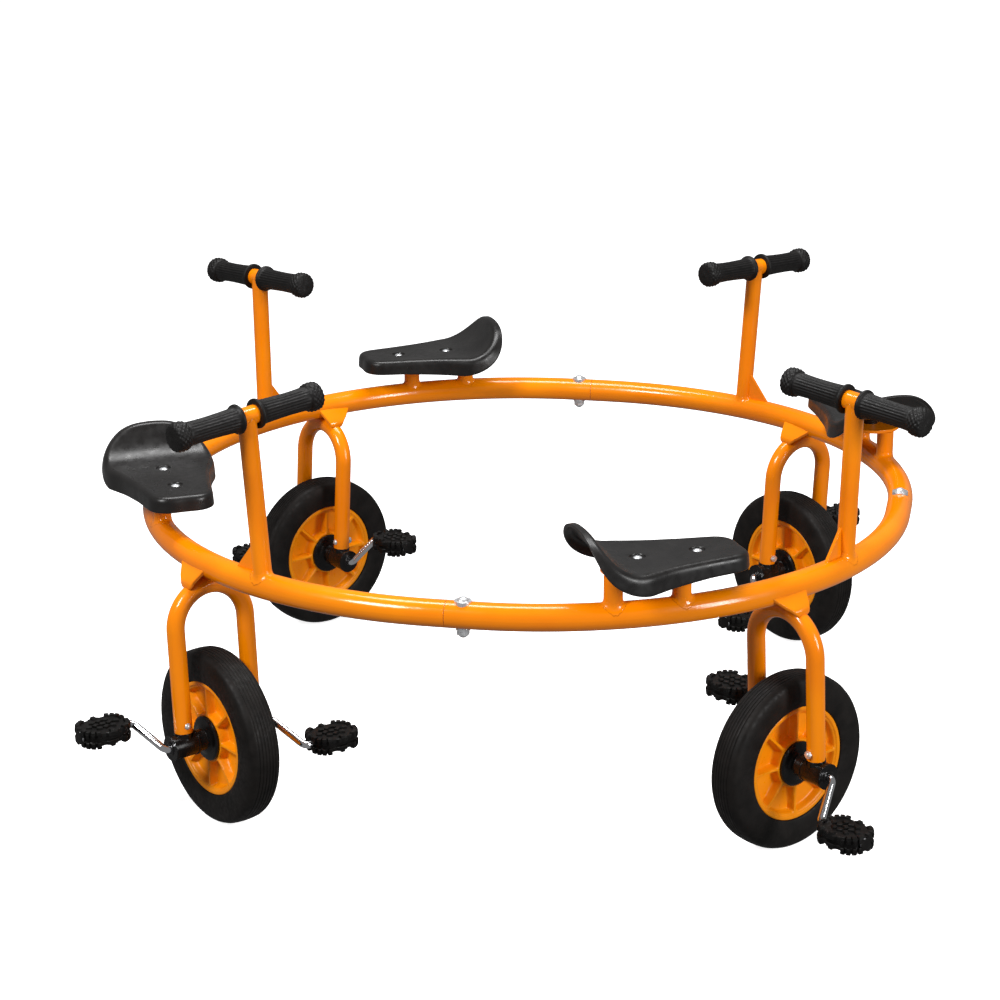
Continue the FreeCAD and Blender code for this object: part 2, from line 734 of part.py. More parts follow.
def make_seat_plate():
    plate = plate_face(PLATE_BOTTOM, 0.0).extrude(Z_AXIS * PLATE_THICKNESS)
    uprights = [
        edge for edge in plate.Edges
        if abs(edge.tangentAt(edge.FirstParameter).z) > 0.99
    ]
    plate = plate.makeFillet(PLATE_CORNER_RADIUS, uprights)
    return at_seat(cut_all(plate, seat_bolt_holes()))


def stub_foot(offset):
    """Point on the ring's centreline that far along the seat's own line."""
    degrees = SEAT_DEG + math.degrees(math.asin(offset / RING_HALF_SPAN))
    reach = ring_reach(degrees)
    return point(math.sqrt(reach ** 2 - offset ** 2), offset, RING_HEIGHT)


def make_seat_stub(offset):
    foot = stub_foot(offset)
    head = point(foot.x, foot.y, PLATE_BOTTOM)
    stub = turned(tube(SMALL_TUBE_RADIUS, SMALL_TUBE_WALL, foot, head), SEAT_DEG)
    stub = stub.cut(ring_envelope())
    return max(stub.Solids, key=lambda solid: solid.CenterOfMass.z)


def make_seat_fasteners(offset):
    floor = SEAT_TOP - SEAT_RECESS_DEPTH
    nut_base = PLATE_BOTTOM - SEAT_NUT_HEIGHT
    tip = nut_base - SEAT_BOLT_TIP
    shank = cylinder(SEAT_BOLT_RADIUS, point(0, 0, tip), point(0, 0, floor))
    head = dome(SEAT_BOLT_HEAD_RADIUS, SEAT_BOLT_HEAD_HEIGHT, floor)
    socket_floor = floor + SEAT_BOLT_HEAD_HEIGHT - SEAT_SOCKET_DEPTH
    socket = hexagon(SEAT_SOCKET_FLATS, OVERSHOOT, socket_floor)
    bolt = merge([shank, head]).cut(socket)
    nut = hexagon(SEAT_NUT_FLATS, SEAT_NUT_HEIGHT, nut_base).cut(shank)
    return [at_seat(moved(solid, point(0, offset, 0))) for solid in (bolt, nut)]


# ---------------------------------------------------------------- wheel

def make_tyre():
    def pt(along, radius):
        return point(along, 0, radius)

    side = TYRE_HALF_WIDTH
    shoulder, shoulder_radius = TYRE_SHOULDER
    crown, crown_radius = TYRE_CROWN
    bead = RIM_SEAT_HALF_WIDTH
    lip = RIM_HALF_WIDTH + TYRE_RIM_GAP
    lip_radius = RIM_LIP_RADIUS + TYRE_RIM_GAP
    face = outline(pt(-bead, TYRE_SEAT_RADIUS), [
        (pt(bead, TYRE_SEAT_RADIUS),),
        (pt(bead, lip_radius),),
        (pt(lip, lip_radius),),
        (pt(side, TYRE_SIDE_LOW), pt(side, TYRE_SIDE_HIGH)),
        (pt(shoulder, shoulder_radius), pt(crown, crown_radius)),
        (pt(0, TYRE_RADIUS), pt(-crown, crown_radius)),
        (pt(-shoulder, shoulder_radius), pt(-side, TYRE_SIDE_HIGH)),
        (pt(-side, TYRE_SIDE_LOW), pt(-lip, lip_radius)),
        (pt(-bead, lip_radius),),
    ])
    tyre = face.revolve(ORIGIN, X_AXIS, 360)
    half = TREAD_GROOVE_WIDTH / 2.0
    floor = TYRE_RADIUS - TREAD_GROOVE_DEPTH
    top = TYRE_RADIUS + OVERSHOOT
    for along in TREAD_GROOVES:
        section = ((along - half, floor), (along + half, floor), (along + half, top), (along - half, top))
        tyre = tyre.cut(axle_turned(section))
    return moved(tyre, WHEEL_CENTRE)


def rim_pockets(side):
    """Ring of pockets on one face of the rim, parted by tapered ribs."""
    face_at = RIM_SEAT_HALF_WIDTH
    clear = face_at + 1.0
    inner_draft, outer_draft = RIM_POCKET_DRAFT
    ring = axle_turned((
        (side * clear, RIM_POCKET_INNER),
        (side * clear, RIM_POCKET_OUTER),
        (side * (face_at - RIM_POCKET_OUTER_DEPTH), RIM_POCKET_OUTER - outer_draft),
        (side * (face_at - RIM_POCKET_INNER_DEPTH), RIM_POCKET_INNER + inner_draft),
    ))
    base = RIM_POCKET_INNER - OVERSHOOT
    reach = RIM_POCKET_OUTER - base + 1.0
    root = side * RIM_RIB_ROOT_AT
    ribs = []
    for index in range(RIM_RIBS):
        section = polygon([
            point(root, -RIM_RIB_ROOT / 2, base),
            point(root, RIM_RIB_ROOT / 2, base),
            point(side * clear, RIM_RIB_FACE / 2, base),
            point(side * clear, -RIM_RIB_FACE / 2, base),
        ])
        rib = section.extrude(Z_AXIS * reach)
        ribs.append(turned(rib, index * 360.0 / RIM_RIBS, X_AXIS))
    return cut_all(ring, ribs)


def make_rim():
    web_edge = RIM_POCKET_OUTER + 1.0
    bore = ROD_RADIUS + ROD_RIM_GAP
    half = (
        (RIM_SEAT_HALF_WIDTH, TYRE_SEAT_RADIUS),
        (RIM_SEAT_HALF_WIDTH, RIM_LIP_RADIUS),
        (RIM_HALF_WIDTH, RIM_LIP_RADIUS),
        (RIM_HALF_WIDTH, web_edge + RIM_LIP_BEVEL),
        (RIM_SEAT_HALF_WIDTH, web_edge),
        (RIM_SEAT_HALF_WIDTH, bore),
    )
    mirrored = tuple((-along, radius) for along, radius in reversed(half))
    body = axle_turned(half + mirrored)
    return moved(cut_all(body, [rim_pockets(-1), rim_pockets(1)]), WHEEL_CENTRE)


def cranked(shape, angle_deg):
    """Turn a shape whose outer crank points up to its rest angle."""
    return moved(turned(shape, angle_deg - 90.0, X_AXIS), WHEEL_CENTRE)


def lug(side, margin):
    low = min(side * LUG_START, side * (LUG_END + margin))
    high = max(side * LUG_START, side * (LUG_END + margin))
    across = LUG_HALF_THICKNESS + margin
    reach = LUG_HALF_LENGTH + margin
    return box(point(low, -across, -reach), point(high, across, reach))


def make_hub_flange(side, angle_deg):
    bore = ROD_RADIUS + RUNNING_GAP
    inner = RIM_SEAT_HALF_WIDTH
    profile = [(side * inner, bore)]
    for along, drop in HUB_FLANGE_STEPS:
        profile.append((side * (inner + along), HUB_FLANGE_RADIUS + drop))
    profile += [
        (side * (HUB_BOSS_END - HUB_BOSS_BEVEL), HUB_BOSS_RADIUS),
        (side * HUB_BOSS_END, HUB_BOSS_RADIUS - HUB_BOSS_BEVEL),
        (side * HUB_BOSS_END, bore),
    ]
    slot = lug(side, LUG_GAP)
    slot = slot.fuse(moved(slot, X_AXIS * (-side * OVERSHOOT / 5)))
    return cranked(axle_turned(profile).cut(slot), angle_deg)


def rod_corner(before, corner, after):
    """Trim points and middle of the arc that rounds one corner of the rod."""
    back = (before - corner).normalize()
    on = (after - corner).normalize()
    half = back.getAngle(on) / 2.0
    trim = CRANK_BEND_RADIUS / math.tan(half)
    inward = (back + on).normalize()
    middle = corner + inward * (CRANK_BEND_RADIUS / math.sin(half) - CRANK_BEND_RADIUS)
    return corner + back * trim, middle, corner + on * trim


def make_crank_axle(angle_deg):
    corners = [
        point(-ROD_END, 0, -CRANK_RADIUS),
        point(-ARM_END, 0, -CRANK_RADIUS),
        point(-ARM_START, 0, 0),
        point(ARM_START, 0, 0),
        point(ARM_END, 0, CRANK_RADIUS),
        point(ROD_END, 0, CRANK_RADIUS),
    ]
    edges = []
    here = corners[0]
    for index in range(1, len(corners) - 1):
        first, middle, last = rod_corner(*corners[index - 1:index + 2])
        edges.append(Part.LineSegment(here, first).toShape())
        edges.append(Part.Arc(first, middle, last).toShape())
        here = last
    edges.append(Part.LineSegment(here, corners[-1]).toShape())
    section = Part.Wire(Part.makeCircle(ROD_RADIUS, corners[0], X_AXIS))
    rod = Part.Wire(edges).makePipeShell([section], True, False)
    return cranked(merge([rod, lug(-1, 0.0), lug(1, 0.0)]), angle_deg)


def make_retainer(side, angle_deg):
    """Push-on cap that keeps a pedal on its pin."""
    start = PEDAL_END - PEDAL_RECESS_DEPTH + RETAINER_GAP
    end = start + RETAINER_LENGTH
    bore = ROD_RADIUS + RETAINER_BORE_GAP
    rod_end = ROD_END + RUNNING_GAP
    cap = axle_turned((
        (side * start, bore),
        (side * start, RETAINER_RADIUS),
        (side * (end - RETAINER_BEVEL), RETAINER_RADIUS),
        (side * end, RETAINER_RADIUS - RETAINER_BEVEL),
        (side * end, 0),
        (side * rod_end, 0),
        (side * rod_end, bore),
    ))
    return cranked(moved(cap, point(0, 0, side * CRANK_RADIUS)), angle_deg)


def pedal_blank(inset, half_height):
    half_length = PEDAL_LENGTH / 2 - inset
    half_width = PEDAL_HALF_WIDTH - inset
    low = point(-half_length, -half_width, -half_height)
    blank = box(low, point(half_length, half_width, half_height))
    uprights = [
        edge for edge in blank.Edges
        if abs(edge.tangentAt(edge.FirstParameter).z) > 0.99
    ]
    return blank.makeFillet(PEDAL_CORNER_RADIUS - inset, uprights)


def pedal_slots(face):
    """Crossing slots that part one face of the pedal into tread blocks."""
    half_slot = PEDAL_SLOT_WIDTH / 2
    floor = face * (PEDAL_HALF_THICKNESS - PEDAL_SLOT_DEPTH)
    top = face * (PEDAL_HALF_THICKNESS + 1.0)
    low, high = min(floor, top), max(floor, top)
    reach = PEDAL_LENGTH
    slots = []
    for along in PEDAL_SLOTS_ALONG:
        slots.append(box(point(along - half_slot, -reach, low), point(along + half_slot, reach, high)))
    for across in PEDAL_SLOTS_ACROSS:
        slots.append(box(point(-reach, across - half_slot, low), point(reach, across + half_slot, high)))
    return slots


def make_pedal(side, angle_deg):
    """Pedal held level at rest on the pin of its crank."""
    half_groove = PEDAL_GROOVE_HEIGHT / 2
    groove = pedal_blank(-2.0, half_groove).cut(pedal_blank(PEDAL_GROOVE_DEPTH, half_groove + 1))
    end = point(side * PEDAL_LENGTH / 2, 0, 0)
    recess = cylinder(PEDAL_RECESS_RADIUS, end - X_AXIS * side * PEDAL_RECESS_DEPTH, end)
    bore = cylinder(ROD_RADIUS + RUNNING_GAP, X_AXIS * -PEDAL_LENGTH, X_AXIS * PEDAL_LENGTH)
    cutters = [groove, recess, bore] + pedal_slots(-1) + pedal_slots(1)
    pedal = cut_all(pedal_blank(0.0, PEDAL_HALF_THICKNESS), cutters)
    angle = math.radians(angle_deg)
    reach = side * CRANK_RADIUS
    middle = side * (PEDAL_START + PEDAL_END) / 2.0
    pin = point(middle, reach * math.cos(angle), reach * math.sin(angle))
    return moved(pedal, WHEEL_CENTRE + pin)


# ---------------------------------------------------------------- files

def write_ring():
    tube_quarter = make_ring_tube()
    for k in range(STATIONS):
        export("ring_tube_%d" % k, [at_station(tube_quarter, k)])
    bolt, washers, nut = make_ring_fasteners()
    export("ring_sleeves", at_all_stations([make_ring_sleeve()]))
    export("ring_bolts", at_all_stations([bolt]))
    export("ring_saddle_washers", at_all_stations(washers))
    export("ring_cap_nuts", at_all_stations([nut]))


def write_forks():
    fork = make_fork()
    for k in range(STATIONS):
        export("fork_%d" % k, [at_station(fork, k)])
    bolts = []
    nuts = []
    for side in (-1, 1):
        bolt, nut = make_fork_fasteners(side)
        bolts.append(bolt)
        nuts.append(nut)
    gussets = [make_fork_gusset(side) for side in (-1, 1)]
    export("fork_gussets", at_all_stations(gussets))
    export("bearing_blocks", at_all_stations([make_bearing_block(side) for side in (-1, 1)]))
    export("bearing_bushes", at_all_stations([make_bearing_bush(side) for side in (-1, 1)]))
    export("fork_bolts", at_all_stations(bolts))
    export("fork_nuts", at_all_stations(nuts))


def write_handlebars():
    grips = make_grips()
    for k in range(STATIONS):
        export("handlebar_grips_%d" % k, [at_station(grip, k) for grip in grips])
    export("handlebar_posts", at_all_stations([make_post()]))
    export("handlebar_crossbars", at_all_stations([make_crossbar()]))
    export("post_gussets", at_all_stations([make_post_gusset()]))


def write_seats():
    seat = make_seat()
    for k in range(STATIONS):
        export("seat_%d" % k, [at_station(seat, k)])
    bolts = []
    nuts = []
    for offset in SEAT_BOLT_OFFSETS:
        bolt, nut = make_seat_fasteners(offset)
        bolts.append(bolt)
        nuts.append(nut)
    export("seat_stubs", at_all_stations([make_seat_stub(offset) for offset in STUB_OFFSETS]))
    export("seat_plates", at_all_stations([make_seat_plate()]))
    export("seat_bolts", at_all_stations(bolts))
    export("seat_nuts", at_all_stations(nuts))


def write_wheels():
    tyre = make_tyre()
    rim = make_rim()
    for k, angle in enumerate(CRANK_ANGLES_DEG):
        flanges = [make_hub_flange(side, angle) for side in (-1, 1)]
        retainers = [make_retainer(side, angle) for side in (-1, 1)]
        export("tyre_%d" % k, [at_station(tyre, k)])
        export("wheel_rim_%d" % k, [at_station(rim, k)])
        export("hub_flanges_%d" % k, [at_station(flange, k) for flange in flanges])
        export("crank_axle_%d" % k, [at_station(make_crank_axle(angle), k)])
        export("pedal_retainers_%d" % k, [at_station(cap, k) for cap in retainers])
        export("outer_pedal_%d" % k, [at_station(make_pedal(1, angle), k)])
        export("inner_pedal_%d" % k, [at_station(make_pedal(-1, angle), k)])


os.makedirs("parts", exist_ok=True)
write_ring()
write_forks()
write_handlebars()
write_seats()
write_wheels()
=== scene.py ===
import json
import math

import bpy
from mathutils import Matrix, Vector


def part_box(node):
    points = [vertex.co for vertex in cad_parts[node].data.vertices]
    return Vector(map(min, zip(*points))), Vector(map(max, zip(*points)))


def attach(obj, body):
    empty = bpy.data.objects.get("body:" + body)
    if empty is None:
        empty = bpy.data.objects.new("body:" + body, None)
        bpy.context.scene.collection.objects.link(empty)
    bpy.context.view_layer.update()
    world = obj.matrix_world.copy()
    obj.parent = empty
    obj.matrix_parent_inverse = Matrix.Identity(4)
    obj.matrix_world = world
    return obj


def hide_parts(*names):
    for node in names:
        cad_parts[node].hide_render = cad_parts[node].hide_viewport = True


# Looks of a four-seat pedal merry-go-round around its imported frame. Metres, +Z up.
# Station 0 is the wheel on -Y. A station's own frame has X outwards along the
# wheel's axle, Y in the riders' direction of travel and Z up.

MM = 0.001
STATIONS = 4

# Directions of a station's own frame.
OUTWARD = Vector((1, 0, 0))
ONWARD = Vector((0, 1, 0))
UP = Vector((0, 0, 1))

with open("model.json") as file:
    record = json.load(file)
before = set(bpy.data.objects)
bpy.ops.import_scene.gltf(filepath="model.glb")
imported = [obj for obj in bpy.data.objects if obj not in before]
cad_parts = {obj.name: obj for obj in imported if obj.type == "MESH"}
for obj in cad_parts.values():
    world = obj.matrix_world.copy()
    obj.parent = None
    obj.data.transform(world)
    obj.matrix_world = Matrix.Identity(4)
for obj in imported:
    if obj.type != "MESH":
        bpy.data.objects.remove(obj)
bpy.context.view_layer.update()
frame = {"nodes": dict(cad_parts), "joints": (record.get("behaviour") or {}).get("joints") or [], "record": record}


# ------------------------------------------------------------ places from the frame

def joint_place(name):
    joint = next(j for j in frame["joints"] if j["name"] == name)
    return Vector(joint["pos_m"])


def station_turn(index):
    """Turn about Z that carries a station's own directions into the whole object's."""
    axle = joint_place("wheel_spin_%d" % index)
    return Matrix.Rotation(math.atan2(axle.y, axle.x), 4, "Z")


def wheel_place(index):
    return Matrix.Translation(joint_place("wheel_spin_%d" % index)) @ station_turn(index)


def station_points(node, index):
    """Mesh points of a shared CAD node that belong to one station, in its own frame."""
    back = station_turn(index).inverted()
    points = [back @ v.co for v in frame["nodes"][node].data.vertices]
    return [p for p in points if p.x > abs(p.y)]


def span_of(points):
    """Lowest and highest corners of a group of points."""
    low = Vector([min(p[i] for p in points) for i in range(3)])
    high = Vector([max(p[i] for p in points) for i in range(3)])
    return low, high


def middle_of(points):
    low, high = span_of(points)
    return (low + high) / 2


def twin_middles(node, index, direction):
    """Middles of a station's two solids, or of one solid's two ends, in order."""
    points = station_points(node, index)
    split = middle_of(points).dot(direction)
    first = [p for p in points if p.dot(direction) < split]
    second = [p for p in points if p.dot(direction) >= split]
    return middle_of(first), middle_of(second)


def ring_sizes():
    """Reach and height of a ring quarter's centreline, and the tube's radius."""
    low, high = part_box("ring_tube_1")
    tube = (high.z - low.z) / 2
    return high.x - tube, (high.z + low.z) / 2, tube


# Each ring quarter is bent round a centre of its own, on a radius a little under its
# reach. The middle of its bend lies a little behind its wheel.
RING_REACH, RING_HEIGHT, RING_TUBE = ring_sizes()
RING_BEND_RADIUS = 576.4 * MM
QUARTER_MIDDLE = math.radians(-5.25)


def bend_centre(index):
    """Centre of the bend of one ring quarter."""
    along = RING_REACH - RING_BEND_RADIUS
    centre = Vector((along, along * math.tan(QUARTER_MIDDLE), RING_HEIGHT))
    return station_turn(index) @ centre


# ------------------------------------------------------------ material tools

PLAIN_STRETCH = (1.0, 1.0, 1.0)
NOISE_LOW = 0.35
NOISE_HIGH = 0.65
BEVEL_SAMPLES = 4


def new_material(name, colour, roughness, metallic, specular):
    material = bpy.data.materials.new(name)
    material.use_nodes = True
    shader = material.node_tree.nodes["Principled BSDF"]
    shader.inputs["Base Color"].default_value = (*colour, 1.0)
    shader.inputs["Roughness"].default_value = roughness
    shader.inputs["Metallic"].default_value = metallic
    shader.inputs["Specular IOR Level"].default_value = specular
    return material, material.node_tree, shader


def object_place(tree, stretch):
    """Object coordinates for a texture, with its own scale along each axis."""
    coordinates = tree.nodes.new("ShaderNodeTexCoord")
    mapping = tree.nodes.new("ShaderNodeMapping")
    mapping.inputs["Scale"].default_value = stretch
    tree.links.new(coordinates.outputs["Object"], mapping.inputs["Vector"])
    return mapping.outputs["Vector"]


def cloud(tree, size, detail, stretch=PLAIN_STRETCH):
    """Soft noise whose blotches are about one size across, in millimetres."""
    texture = tree.nodes.new("ShaderNodeTexNoise")
    texture.inputs["Scale"].default_value = 1.0 / (size * MM)
    texture.inputs["Detail"].default_value = detail
    tree.links.new(object_place(tree, stretch), texture.inputs["Vector"])
    return texture.outputs["Fac"]


def pebbles(tree, size):
    """Pebbled pattern, as on a leather-grain moulding, sized in millimetres."""
    texture = tree.nodes.new("ShaderNodeTexVoronoi")
    texture.feature = "F1"
    texture.inputs["Scale"].default_value = 1.0 / (size * MM)
    tree.links.new(object_place(tree, PLAIN_STRETCH), texture.inputs["Vector"])
    return texture.outputs["Distance"]


def ranged(tree, noise, low, high):
    """Noise spread from low to high over its middle part, where most of it lies."""
    spread = tree.nodes.new("ShaderNodeMapRange")
    spread.inputs["From Min"].default_value = NOISE_LOW
    spread.inputs["From Max"].default_value = NOISE_HIGH
    spread.inputs["To Min"].default_value = low
    spread.inputs["To Max"].default_value = high
    tree.links.new(noise, spread.inputs["Value"])
    return spread.outputs["Result"]


def mixed_colour(tree, factor, first, second):
    mix = tree.nodes.new("ShaderNodeMix")
    mix.data_type = "RGBA"
    for socket in mix.inputs:
        if socket.type == "RGBA" and socket.name == "A":
            socket.default_value = (*first, 1.0)
        if socket.type == "RGBA" and socket.name == "B":
            socket.default_value = (*second, 1.0)
    tree.links.new(factor, mix.inputs["Factor"])
    return next(s for s in mix.outputs if s.type == "RGBA")


def summed(tree, first, second, weight):
    total = tree.nodes.new("ShaderNodeMath")
    total.operation = "MULTIPLY_ADD"
    total.inputs[1].default_value = weight
    tree.links.new(second, total.inputs[0])
    tree.links.new(first, total.inputs[2])
    return total.outputs["Value"]


def set_bump(tree, shader, height, depth, edge):
    """Surface relief of the given depth; edge softens hard corners by that radius."""
    bump = tree.nodes.new("ShaderNodeBump")
    bump.inputs["Strength"].default_value = 1.0
    bump.inputs["Distance"].default_value = depth
    tree.links.new(height, bump.inputs["Height"])
    if edge:
        bevel = tree.nodes.new("ShaderNodeBevel")
        bevel.samples = BEVEL_SAMPLES
        bevel.inputs["Radius"].default_value = edge
        tree.links.new(bevel.outputs["Normal"], bump.inputs["Normal"])
    tree.links.new(bump.outputs["Normal"], shader.inputs["Normal"])


# ------------------------------------------------------------ materials

def make_finish(name, tones, roughness, relief_size, depth,
                metallic=0.0, specular=0.5, tone_size=0, tone_detail=4.0, blend=1.0,
                gloss_size=0, gloss_detail=5.0, relief_detail=3.0, stretch=PLAIN_STRETCH,
                pebbled=False, broad_size=0, broad_weight=0, edge=0):
    """Material with mixed tones, patchy gloss and a fine relief, sized in millimetres.

    The second tone is mixed in up to the share called blend. The roughness runs from
    its first value to its second, or is one value where there are no gloss patches.
    """
    material, tree, shader = new_material(name, tones[0], roughness[0], metallic, specular)
    if tone_size:
        share = ranged(tree, cloud(tree, tone_size, tone_detail), 0.0, blend)
        tree.links.new(mixed_colour(tree, share, *tones), shader.inputs["Base Color"])
    if gloss_size:
        patches = cloud(tree, gloss_size, gloss_detail, stretch)
        tree.links.new(ranged(tree, patches, *roughness), shader.inputs["Roughness"])
    if pebbled:
        relief = pebbles(tree, relief_size)
    else:
        relief = cloud(tree, relief_size, relief_detail, stretch)
    if broad_size:
        relief = summed(tree, relief, cloud(tree, broad_size, relief_detail), broad_weight)
    set_bump(tree, shader, relief, depth * MM, edge * MM)
    return material


FINISHES = {
    # Gloss orange powder coat with a faint orange-peel surface.
    "frame_paint": {
        "name": "orange_powder_coat", "specular": 0.42,
        "tones": ((0.930, 0.255, 0.0006), (0.80, 0.172, 0.0005)),
        "tone_size": 160, "tone_detail": 3.0, "blend": 0.55,
        "roughness": (0.12, 0.21), "gloss_size": 45,
        "relief_size": 2.2, "relief_detail": 2.0, "broad_size": 14, "broad_weight": 1.5,
        "depth": 0.06, "edge": 0.9,
    },
    "rim_plastic": {
        "name": "orange_moulded_plastic", "specular": 0.25,
        "tones": ((0.930, 0.300, 0.001), (0.80, 0.205, 0.0008)), "tone_size": 30, "blend": 0.5,
        "roughness": (0.27, 0.42), "gloss_size": 9, "gloss_detail": 4.0,
        "relief_size": 3.5, "depth": 0.08,
    },
    "black_plastic": {
        "name": "gloss_black_plastic", "specular": 0.28,
        "tones": ((0.003, 0.0028, 0.0028), (0.007, 0.0062, 0.006)), "tone_size": 20,
        "roughness": (0.14, 0.3), "gloss_size": 8,
        "relief_size": 3, "depth": 0.06, "edge": 1.1,
    },
    "tyre_rubber": {
        "name": "tyre_rubber", "specular": 0.16,
        "tones": ((0.0050, 0.0042, 0.0038), (0.0110, 0.0092, 0.0083)),
        "tone_size": 22, "tone_detail": 5.0,
        "roughness": (0.42, 0.66), "gloss_size": 7,
        "relief_size": 1.1, "broad_size": 6, "broad_weight": 1.2, "depth": 0.12,
    },
    # Charcoal moulding with a fine leather grain.
    "seat_plastic": {
        "name": "charcoal_seat_plastic", "specular": 0.36,
        "tones": ((0.0075, 0.0068, 0.0066), (0.0125, 0.0114, 0.0110)), "tone_size": 50,
        "roughness": (0.27, 0.40), "gloss_size": 12,
        "relief_size": 1.3, "pebbled": True, "broad_size": 5, "broad_weight": 0.5, "depth": 0.05,
    },
    "grip_rubber": {
        "name": "grip_rubber", "specular": 0.25,
        "tones": ((0.0030, 0.0026, 0.0025), (0.0062, 0.0054, 0.0052)), "tone_size": 12,
        "roughness": (0.42, 0.62), "gloss_size": 5, "gloss_detail": 4.0,
        "relief_size": 1.2, "depth": 0.1,
    },
    "pedal_plastic": {
        "name": "pedal_plastic", "specular": 0.2,
        "tones": ((0.0016, 0.0014, 0.0013), (0.0040, 0.0034, 0.0031)),
        "tone_size": 15, "tone_detail": 5.0,
        "roughness": (0.36, 0.58), "gloss_size": 6,
        "relief_size": 1.6, "depth": 0.12,
    },
    "chrome_rod": {
        "name": "chrome_plate", "metallic": 1.0,
        "tones": ((0.80, 0.80, 0.82),),
        "roughness": (0.05, 0.15), "gloss_size": 18,
        "relief_size": 10, "relief_detail": 2.0, "depth": 0.03, "edge": 0.6,
    },
    "zinc_fastener": {
        "name": "bright_zinc", "metallic": 0.75,
        "tones": ((0.82, 0.83, 0.85), (0.62, 0.63, 0.64)), "tone_size": 4,
        "roughness": (0.24, 0.44), "gloss_size": 1.5, "gloss_detail": 3.0,
        "relief_size": 1.5, "stretch": (1.0, 1.0, 0.15), "depth": 0.03, "edge": 0.5,
    },
    "bush_nylon": {
        "name": "natural_nylon",
        "tones": ((0.60, 0.585, 0.54), (0.48, 0.465, 0.42)), "tone_size": 6,
        "roughness": (0.5,),
        "relief_size": 2, "relief_detail": 2.0, "depth": 0.05,
    },
}
MATERIALS = {slot: make_finish(**finish) for slot, finish in FINISHES.items()}


def dress_frame():
    """Give each CAD node the material of its slot in the record."""
    for row in frame["record"]["subparts"]:
        materials = frame["nodes"][row["node"]].data.materials
        materials.clear()
        materials.append(MATERIALS[row["material_slot"]])


# ------------------------------------------------------------ mesh tools

def add_object(name, data):
    thing = bpy.data.objects.new(name, data)
    bpy.context.scene.collection.objects.link(thing)
    return thing


def skin(rings, caps=(False, False), around=False):
    """Faces between closed rings of points, with flat caps or joined end to end."""
    count = len(rings[0])
    vertices = [p for ring in rings for p in ring]
    faces = []
    for row in range(len(rings) if around else len(rings) - 1):
        here = row * count
        there = (row + 1) % len(rings) * count
        for step in range(count):
            after = (step + 1) % count
            faces.append((here + step, here + after, there + after, there + step))
    if caps[0]:
        faces.append(tuple(reversed(range(count))))
    if caps[1]:
        faces.append(tuple(range((len(rings) - 1) * count, len(rings) * count)))
    return vertices, faces


def joined(parts):
    vertices, faces = [], []
    for part_vertices, part_faces in parts:
        start = len(vertices)
        vertices += part_vertices
        faces += [tuple(start + corner for corner in face) for face in part_faces]
    return vertices, faces


def lathe(profile, turns):
    """Closed rings about X from pairs of (distance along, radius), in millimetres."""
    rings = []
    for along, radius in profile:
        ring = []
        for step in range(turns):
            angle = 2 * math.pi * step / turns
            ring.append(Vector((along, radius * math.cos(angle), radius * math.sin(angle))) * MM)
        rings.append(ring)
    return rings


def bare_mesh(name, vertices, faces):
    mesh = bpy.data.meshes.new(name)
    mesh.from_pydata([tuple(v) for v in vertices], [], faces)
    mesh.update()
    return mesh


def recess_cut(name, shape, cutter, smoothing=0):
    """Closed shape, smoothed by that many levels, less a closed cutter."""
    blank = add_object(name, bare_mesh(name, *shape))
    tool = add_object(name + "_cutter", bare_mesh(name + "_cutter", *cutter))
    if smoothing:
        blank.modifiers.new("smooth", "SUBSURF").levels = smoothing
    cut = blank.modifiers.new("cut", "BOOLEAN")
    cut.operation = "DIFFERENCE"
    cut.solver = "EXACT"
    cut.object = tool
    bpy.context.view_layer.update()
    whole = blank.evaluated_get(bpy.context.evaluated_depsgraph_get())
    mesh = bpy.data.meshes.new_from_object(whole)
    vertices = [v.co.copy() for v in mesh.vertices]
    faces = [tuple(face.vertices) for face in mesh.polygons]
    for thing in (blank, tool):
        bpy.data.objects.remove(thing)
    return vertices, faces


def shared_mesh(name, shape, slot, sharp_deg):
    """Smooth-shaded mesh, creased at sharp corners, for one or more pieces to use."""
    mesh = bare_mesh(name, *shape)
    mesh.materials.append(MATERIALS[slot])
    mesh.polygons.foreach_set("use_smooth", [True] * len(mesh.polygons))
    mesh.set_sharp_from_angle(angle=math.radians(sharp_deg))
    return mesh


def place_piece(name, mesh, body, place, node=None):
    """Piece that rides on a body and, where one is named, replaces a CAD node."""
    piece = add_object(name, mesh)
    piece.matrix_world = place
    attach(piece, body)
    if node:
        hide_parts(node)


def smooth_step(value, start, end):
    t = min(max((value - start) / (end - start), 0.0), 1.0)
    return t * t * (3 - 2 * t)


def frame_matrix(origin, ahead, upward):
    """Place whose X runs along one direction and whose Z leans to another."""
    x = ahead.normalized()
    y = upward.cross(x).normalized()
    z = x.cross(y)
    turn = Matrix((x, y, z)).transposed().to_4x4()
    return Matrix.Translation(origin) @ turn


# ------------------------------------------------------------ seats

# Millimetres in the seat's own frame: X to the rider's right, Y ahead, Z up from
# the pan. The pan and back are one sheet, measured back from its front edge.
SEAT_FRONT = 106.0
SEAT_FLAT = 170.0
SEAT_CURVE_RADIUS = 62.0
SEAT_CURVE = math.radians(75.0)
SEAT_MIDDLE = 128.0
SEAT_WALL = 4.5
